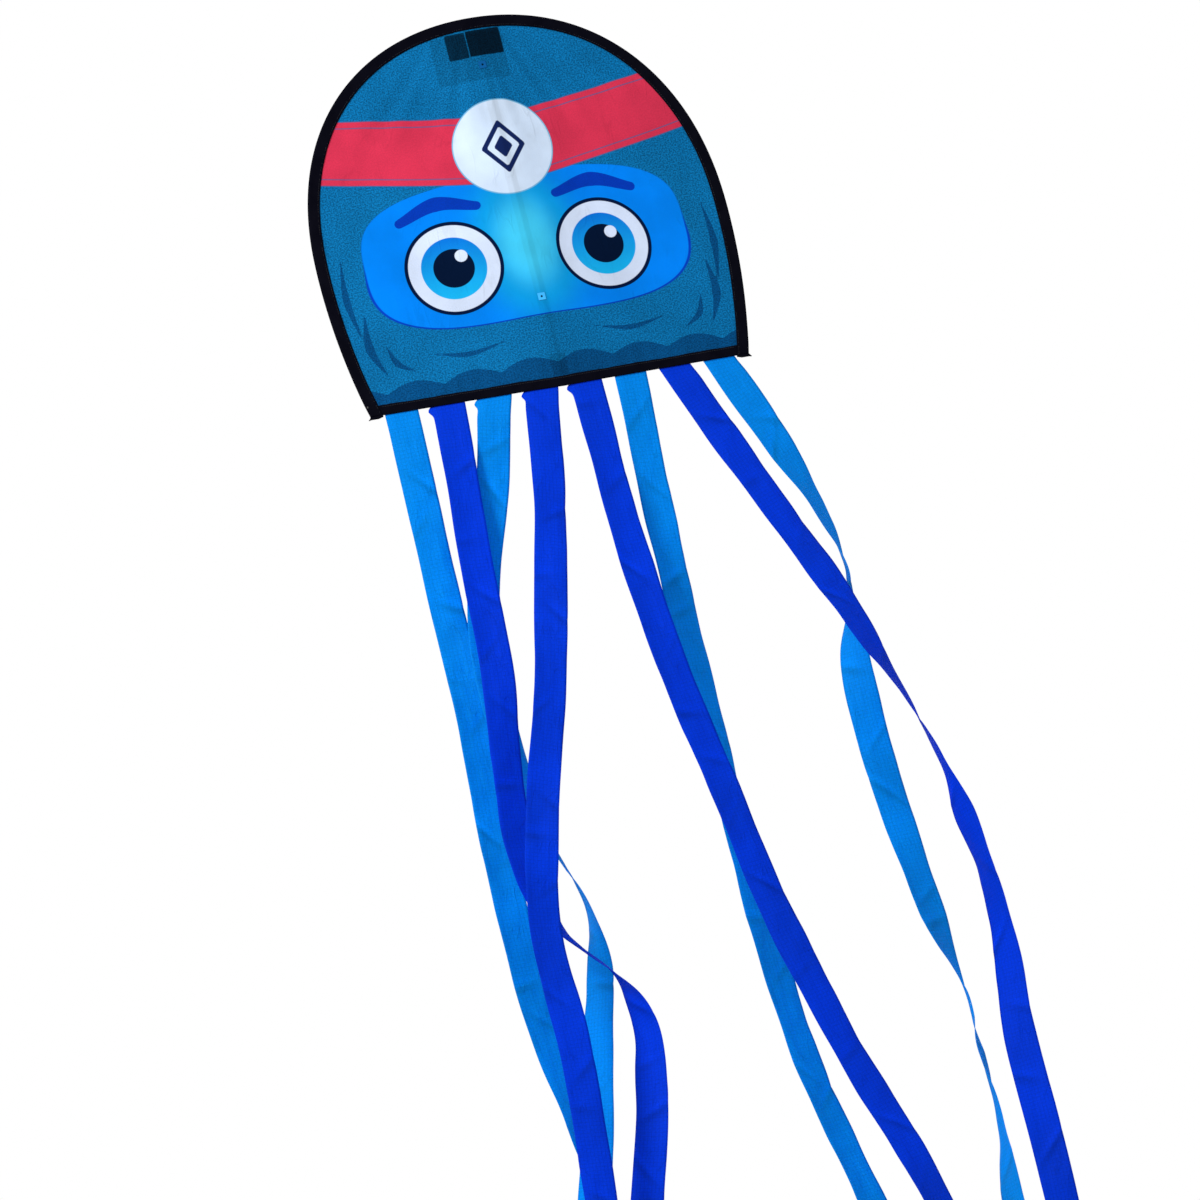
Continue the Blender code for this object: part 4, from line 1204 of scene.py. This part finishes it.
def make_spine_sleeve():
    """A strip sewn down the back that goes round the rod: two feet on the cloth and a half circle between,
    carried from the hem pocket to the nose patch."""
    left, right, low, high = node_span("spine_sleeve")
    wall, foot = ROD_RADIUS + CLEARANCE + TAPE_THICKNESS / 2, PATCH_FRONT + PATCH_THICKNESS / 2
    turn = np.linspace(math.pi, 0, 21)
    hump = np.stack([wall * np.cos(turn), SPINE_BACK + wall * np.sin(turn)], axis=1)
    half = (right - left) / 2
    profile = np.concatenate([[(-half, foot), (-wall - 0.0012, foot), (-wall - 0.0002, foot + 0.0007)], hump,
                              [(wall + 0.0002, foot + 0.0007), (wall + 0.0012, foot), (half, foot)]])
    profile = evenly(profile, 54)
    height = np.linspace(low, high, 240)[:, None]
    x, depth = profile[:, 0][None], profile[:, 1][None]
    lift = 0.00035 * np.abs(np.sin(height / 0.0058 + np.sin(height / 0.043))) * rise(wall, half, np.abs(x))
    lift = lift + 0.00025 * np.abs(np.sin(height / 0.019)) * rise(foot, SPINE_BACK, depth)
    points = on_sail(x, depth + lift, height)
    across = run_along(profile)
    sleeve = surface("spine_sleeve_cloth", points, paired(across, height), patch_cloth())
    thickened(sleeve, PATCH_THICKNESS)
    up = np.linspace(low + SEAM_END, high - SEAM_END, 400)
    seam_x = half - SPINE_SEAM_INSET
    rows = [seam_row(paired(x, up), foot + SPINE_SEAM_LIFT) for x in (-seam_x, seam_x)]
    seam = sewn("spine_stitches", rows, blue_thread())
    cloth_piece(sleeve, "spine_sleeve", "patch_cloth", flat=(float(across[-1]), high - low), held="stretched",
                rests_on=["sail_cloth", "spine_rod"], with_pieces=[seam])


def make_label():
    """The blank label: sewn along its top edge, with its lower end curling off the cloth."""
    x, height = spread("care_label", 28, 36)
    left, right, low, high = node_span("care_label")
    down = (high - height) / (high - low)
    curl = 0.0016 * down**2 + 0.0006 * down * np.sin((x - left) / (right - left) * math.pi * 1.3)
    depth = POCKET_FRONT + PATCH_THICKNESS / 2 + curl
    cloth = kept("label cloth", woven_tape, bpy.context.scene.kite_cloth.label, 0.0004)
    flat_piece("blank_label", "care_label", "label_cloth", cloth, (x, depth, height), body="care_label",
               held="hung", rests_on=["nose_reinforcement"])


def packing_creases(number, run, side):
    """Sharp slanting creases across a streamer: a relief, and the painted light and painted shade on the two
    sides of each crease.

    Each crease is a line whose distance along the strip shifts with the place across it. The relief falls
    off evenly on both sides, and the painted light and shade is the slope of a bell, so that one side is
    painted lighter and one darker.
    """
    index = np.arange(15)
    at = 0.06 + 0.098 * index + 0.034 * np.sin(2.7 * index * number + number)
    slant = 1.1 * np.sin(2.4 * index + 1.9 * number)
    size = 0.45 + 0.55 * np.sin(5.1 * index + 0.7 * number) ** 2
    middle = 0.6 * np.sin(3.3 * index + number)
    gap = run[..., None] - at - slant * side[..., None] * STREAMER_WIDTH / 2
    size = size * np.exp(-np.square((side[..., None] - middle) / 0.9))
    relief = np.sum(size * np.exp(-np.abs(gap) / 0.0075), axis=-1)
    painted_crease_light = np.sum(-size * gap / 0.006 * np.exp(-np.square(gap / 0.0075)), axis=-1)
    return relief, np.clip(1.3 * painted_crease_light, -1, 1)


# How far down from its seam a streamer has left the hem's line, and has turned to its path
LEAVE_RUN = 0.030
TURN_RUN = 0.045


def streamer_net(number):
    """A streamer's points, their places on its cloth and the painted light and shade of its creases.

    A path comes down from the seam. Across it the strip lies level and square to the path, and is turned
    about it by the lie's angle. It cups a little between its edges, and waves run along them. Its upper rows
    follow the hem's line, and over its first few centimetres it turns from there to its path.
    """
    cloth = bpy.context.scene.kite_cloth
    joint = SEAMS[f"streamer_{number}"]
    seam, axis = np.array(joint["pos_m"]), np.array(joint["axis"])
    shares = np.linspace(0, 1, cloth.stations)
    across, back, turned = smooth_rows(LIES[number], shares).T
    path = np.stack([across, back, -STREAMER_LENGTH * shares], axis=1)
    run = run_along(path)[:, None]
    along = np.gradient(path, axis=0)
    along /= np.linalg.norm(along, axis=1)[:, None]
    down = axis * axis[2] - (0, 0, 1)
    along = down + (along - down) * rise(0.0, TURN_RUN, run)
    along /= np.linalg.norm(along, axis=1)[:, None]
    level = axis - along * (along @ axis)[:, None]
    level /= np.linalg.norm(level, axis=1)[:, None]
    facing = np.cross(level, along)
    angle = np.radians(turned)[:, None]
    wide = (level * np.cos(angle) + facing * np.sin(angle))[:, None]
    thick = (facing * np.cos(angle) - level * np.sin(angle))[:, None]
    side = np.linspace(-1, 1, 13)[None]
    phase = 1.9 * number
    free = rise(0.01, 0.10, run)
    wave = np.sin(run / 0.043 + phase + 0.8 * side) + 0.6 * np.sin(run / 0.017 + 2.3 * phase - 1.4 * side)
    wave = wave * (0.25 + 0.75 * side**2) * cloth.flutter
    cup = 0.0022 * (side**2 - 0.4) * np.sin(run / 0.19 + phase)
    fold = 0.000315 * np.sin(run / 0.0071 + 1.7 * side + phase)
    fold *= np.exp(-np.square(side - 0.5 * np.sin(run / 0.11)))
    half = STREAMER_WIDTH / 2
    relief, painted_crease_light = packing_creases(number, run, side)
    edge = side * half * (1 - 0.010 * free * (1 + np.sin(run / 0.031 + phase)) - 0.022 * relief * free)
    out = free * (wave + cup + fold + cloth.crease * relief)
    points = seam + path[:, None] + wide * edge[..., None] + thick * out[..., None]
    up = np.linspace(ROOT_HEIGHT, 0, 6)[:, None]
    x = seam[0] + side * half
    top = on_sail(x, MIDDLE + ROOT_DEPTH, hem_height(x) + up)
    leave = 1 - rise(0.0, LEAVE_RUN, run)
    points = points + (top[-1] - points[0])[None] * leave[..., None]
    if number in EARED_STREAMERS:
        ear = np.exp(-np.square((run - 0.005) / 0.006)) * rise(0.55, 1.0, -side)
        points += ear[..., None] * np.array((-0.0055, 0.0012, 0.0))
    net = np.concatenate([top[:-1], points])
    length_run = np.concatenate([-up[:-1], run])
    return net, paired(side * half, length_run), np.concatenate([np.zeros_like(top[:-1, :, 0]), painted_crease_light])


def make_streamers():
    """The eight streamers, light and dark, each sewn behind the hem and laid out from its own seam."""
    cloth = bpy.context.scene.kite_cloth
    light = kept("light ripstop", ripstop, cloth.light_streamer)
    dark = kept("dark ripstop", ripstop, cloth.dark_streamer)
    for number in LIES:
        body, pale = f"streamer_{number}", number in LIGHT_STREAMERS
        net, place, painted_crease_light = streamer_net(number)
        # The crease field carries the painted light and painted shade of the packing creases
        strip = surface(f"{body}_cloth", net, place, light if pale else dark, fields={"crease": painted_crease_light})
        thickened(strip, STREAMER_THICKNESS)
        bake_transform(strip)
        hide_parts(body)


def make_rods():
    """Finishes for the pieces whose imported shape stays: the rods, their caps and the nose ferrule."""
    fibre = kept("glass fibre", hard_finish, ink(34, 34, 38), 0.34, 900, 0.00004, 0.0, (1, 1, 0.06))
    vinyl = kept("black vinyl", hard_finish, ink(16, 16, 18), 0.42, 700, 0.00006)
    brass = kept("drawn brass", hard_finish, ink(196, 158, 84), 0.30, 600, 0.00003, 1.0, (0.08, 1, 1))
    finishes = {
        "bow_rod_left": fibre, "bow_rod_right": fibre, "spine_rod": fibre, "nose_ferrule": brass,
        "bow_cap_left": vinyl, "bow_cap_right": vinyl, "spine_cap_top": vinyl, "spine_cap_bottom": vinyl,
    }
    for name, finish in finishes.items():
        for holder in bpy.data.objects[name].material_slots:
            holder.material = finish


# ---------------------------------------------------------------- the stage


def make_stage():
    """A pale floor, a soft white studio, one broad light from the upper left and the camera."""
    scene, stage = bpy.context.scene, bpy.context.scene.kite_stage
    scene.view_settings.view_transform = "Standard"
    world = bpy.data.worlds.new("studio")
    scene.world = world
    world.use_nodes = True
    tree = world.node_tree
    lighting = tree.nodes["Background"]
    lighting.inputs["Color"].default_value = (1, 1, 1, 1)
    lighting.inputs["Strength"].default_value = stage.ambient
    seen = tree.nodes.new("ShaderNodeBackground")
    path = tree.nodes.new("ShaderNodeLightPath")
    mix = tree.nodes.new("ShaderNodeMixShader")
    tree.links.new(path.outputs["Is Camera Ray"], mix.inputs[0])
    tree.links.new(lighting.outputs[0], mix.inputs[1])
    tree.links.new(seen.outputs[0], mix.inputs[2])
    seen.inputs["Color"].default_value = (1, 1, 1, 1)
    tree.links.new(mix.outputs[0], tree.nodes["World Output"].inputs["Surface"])

    mesh = bpy.data.meshes.new("floor")
    reach, level = FLOOR_REACH, HEM_Z - stage.floor_drop
    corners = [(x, y, level) for x, y in ((-reach, -reach), (reach, -reach), (reach, reach), (-reach, reach))]
    mesh.from_pydata(corners, [], [(0, 1, 2, 3)])
    made, tree, shader, _ = new_material("studio floor")
    spots = noise(tree, object_place(tree), 0.6, 2.0)
    tint = blended(tree, spots, tuple(c * 0.97 for c in stage.floor), tuple(stage.floor))
    tree.links.new(tint, shader.inputs["Base Color"])
    shader.inputs["Roughness"].default_value = 0.9
    linked("floor", mesh, made)

    ahead = Vector((-math.sin(stage.azimuth), math.cos(stage.azimuth), 0)) * math.cos(stage.elevation)
    ahead.z = -math.sin(stage.elevation)
    right = ahead.cross(Vector((0, 0, 1))).normalized()
    up = right.cross(ahead)
    turned = up * math.cos(stage.roll) + right * math.sin(stage.roll)
    aside = right * math.cos(stage.roll) - up * math.sin(stage.roll)
    aim = Vector((stage.aim[0], 0, stage.aim[1]))
    data = bpy.data.cameras.new("camera")
    data.sensor_width = SENSOR_WIDTH
    data.lens = SENSOR_WIDTH * stage.distance / stage.width
    camera = bpy.data.objects.new("camera", data)
    scene.collection.objects.link(camera)
    camera.matrix_world = Matrix((aside, turned, -ahead)).transposed().to_4x4()
    camera.location = aim - ahead * stage.distance
    scene.camera = camera

    light = bpy.data.lights.new("broad_light", "AREA")
    light.shape, light.size, light.energy = "DISK", LIGHT_SIZE, stage.key
    lamp = bpy.data.objects.new("broad_light", light)
    scene.collection.objects.link(lamp)
    place = Vector(LIGHT_PLACE)
    lamp.matrix_world = (place - aim).to_track_quat("Z", "Y").to_matrix().to_4x4()
    lamp.location = place


# ---------------------------------------------------------------- the add-on


class KITE_OT_sail(bpy.types.Operator):
    """Makes the printed cloth of the head"""

    bl_idname = "kite.sail"
    bl_label = "Printed Sail"

    def execute(self, context):
        make_sail()
        return {"FINISHED"}


class KITE_OT_edge_tape(bpy.types.Operator):
    """Makes the tape folded over the bow rods, with its stitches"""

    bl_idname = "kite.edge_tape"
    bl_label = "Edge Tape"

    def execute(self, context):
        make_edge_tape()
        return {"FINISHED"}


class KITE_OT_hem_tape(bpy.types.Operator):
    """Makes the tape along the hem, with its stitches"""

    bl_idname = "kite.hem_tape"
    bl_label = "Hem Tape"

    def execute(self, context):
        make_hem_tape()
        return {"FINISHED"}


class KITE_OT_corner_folds(bpy.types.Operator):
    """Makes the folded tape ends under the two corners"""

    bl_idname = "kite.corner_folds"
    bl_label = "Corner Folds"

    def execute(self, context):
        make_corner_folds()
        return {"FINISHED"}


class KITE_OT_patches(bpy.types.Operator):
    """Makes the nose patch and the two bridle patches"""

    bl_idname = "kite.patches"
    bl_label = "Patches"

    def execute(self, context):
        make_patches()
        return {"FINISHED"}


class KITE_OT_pockets(bpy.types.Operator):
    """Makes the pockets that hold the ends of the spine"""

    bl_idname = "kite.pockets"
    bl_label = "Spine Pockets"

    def execute(self, context):
        make_pockets()
        return {"FINISHED"}


class KITE_OT_spine_sleeve(bpy.types.Operator):
    """Makes the sleeve over the spine, with its stitches"""

    bl_idname = "kite.spine_sleeve"
    bl_label = "Spine Sleeve"

    def execute(self, context):
        make_spine_sleeve()
        return {"FINISHED"}


class KITE_OT_label(bpy.types.Operator):
    """Makes the blank label on the back"""

    bl_idname = "kite.label"
    bl_label = "Blank Label"

    def execute(self, context):
        make_label()
        return {"FINISHED"}


class KITE_OT_streamers(bpy.types.Operator):
    """Makes the eight ripstop streamers"""

    bl_idname = "kite.streamers"
    bl_label = "Streamers"

    def execute(self, context):
        make_streamers()
        return {"FINISHED"}


class KITE_OT_rods(bpy.types.Operator):
    """Gives the rods, their caps and the ferrule their finishes"""

    bl_idname = "kite.rods"
    bl_label = "Rods and Fittings"

    def execute(self, context):
        make_rods()
        return {"FINISHED"}


class KITE_OT_stage(bpy.types.Operator):
    """Makes the floor, the light and the camera"""

    bl_idname = "kite.stage"
    bl_label = "Stage"

    def execute(self, context):
        make_stage()
        return {"FINISHED"}


STEPS = (KITE_OT_sail, KITE_OT_edge_tape, KITE_OT_hem_tape, KITE_OT_corner_folds, KITE_OT_patches,
         KITE_OT_pockets, KITE_OT_spine_sleeve, KITE_OT_label, KITE_OT_streamers, KITE_OT_rods, KITE_OT_stage)


class KITE_PT_parts(bpy.types.Panel):
    """The kite's pieces, sizes and colours"""

    bl_idname = "KITE_PT_parts"
    bl_label = "Octopus Kite"
    bl_space_type = "VIEW_3D"
    bl_region_type = "UI"
    bl_category = "Kite"

    def draw(self, context):
        for step in STEPS:
            self.layout.operator(step.bl_idname)
        for group_name in GROUPS:
            box = self.layout.box()
            values = getattr(context.scene, group_name)
            for key in values.bl_rna.properties.keys():
                if key not in {"name", "rna_type"}:
                    box.prop(values, key)


GROUPS = {"kite_print": KitePrint, "kite_cloth": KiteCloth, "kite_stage": KiteStage}
CLASSES = (*GROUPS.values(), *STEPS, KITE_PT_parts)


def register():
    """Adds the classes and the scene's groups of properties."""
    for each in CLASSES:
        bpy.utils.register_class(each)
    for name, kind in GROUPS.items():
        setattr(bpy.types.Scene, name, PointerProperty(type=kind))


def unregister():
    """Takes them away again."""
    for name in GROUPS:
        delattr(bpy.types.Scene, name)
    for each in reversed(CLASSES):
        bpy.utils.unregister_class(each)


def main():
    """Makes every piece and the stage."""
    register()
    for step in STEPS:
        group_name, _, operator = step.bl_idname.partition(".")
        getattr(getattr(bpy.ops, group_name), operator)()


if __name__ == "__main__":
    main()
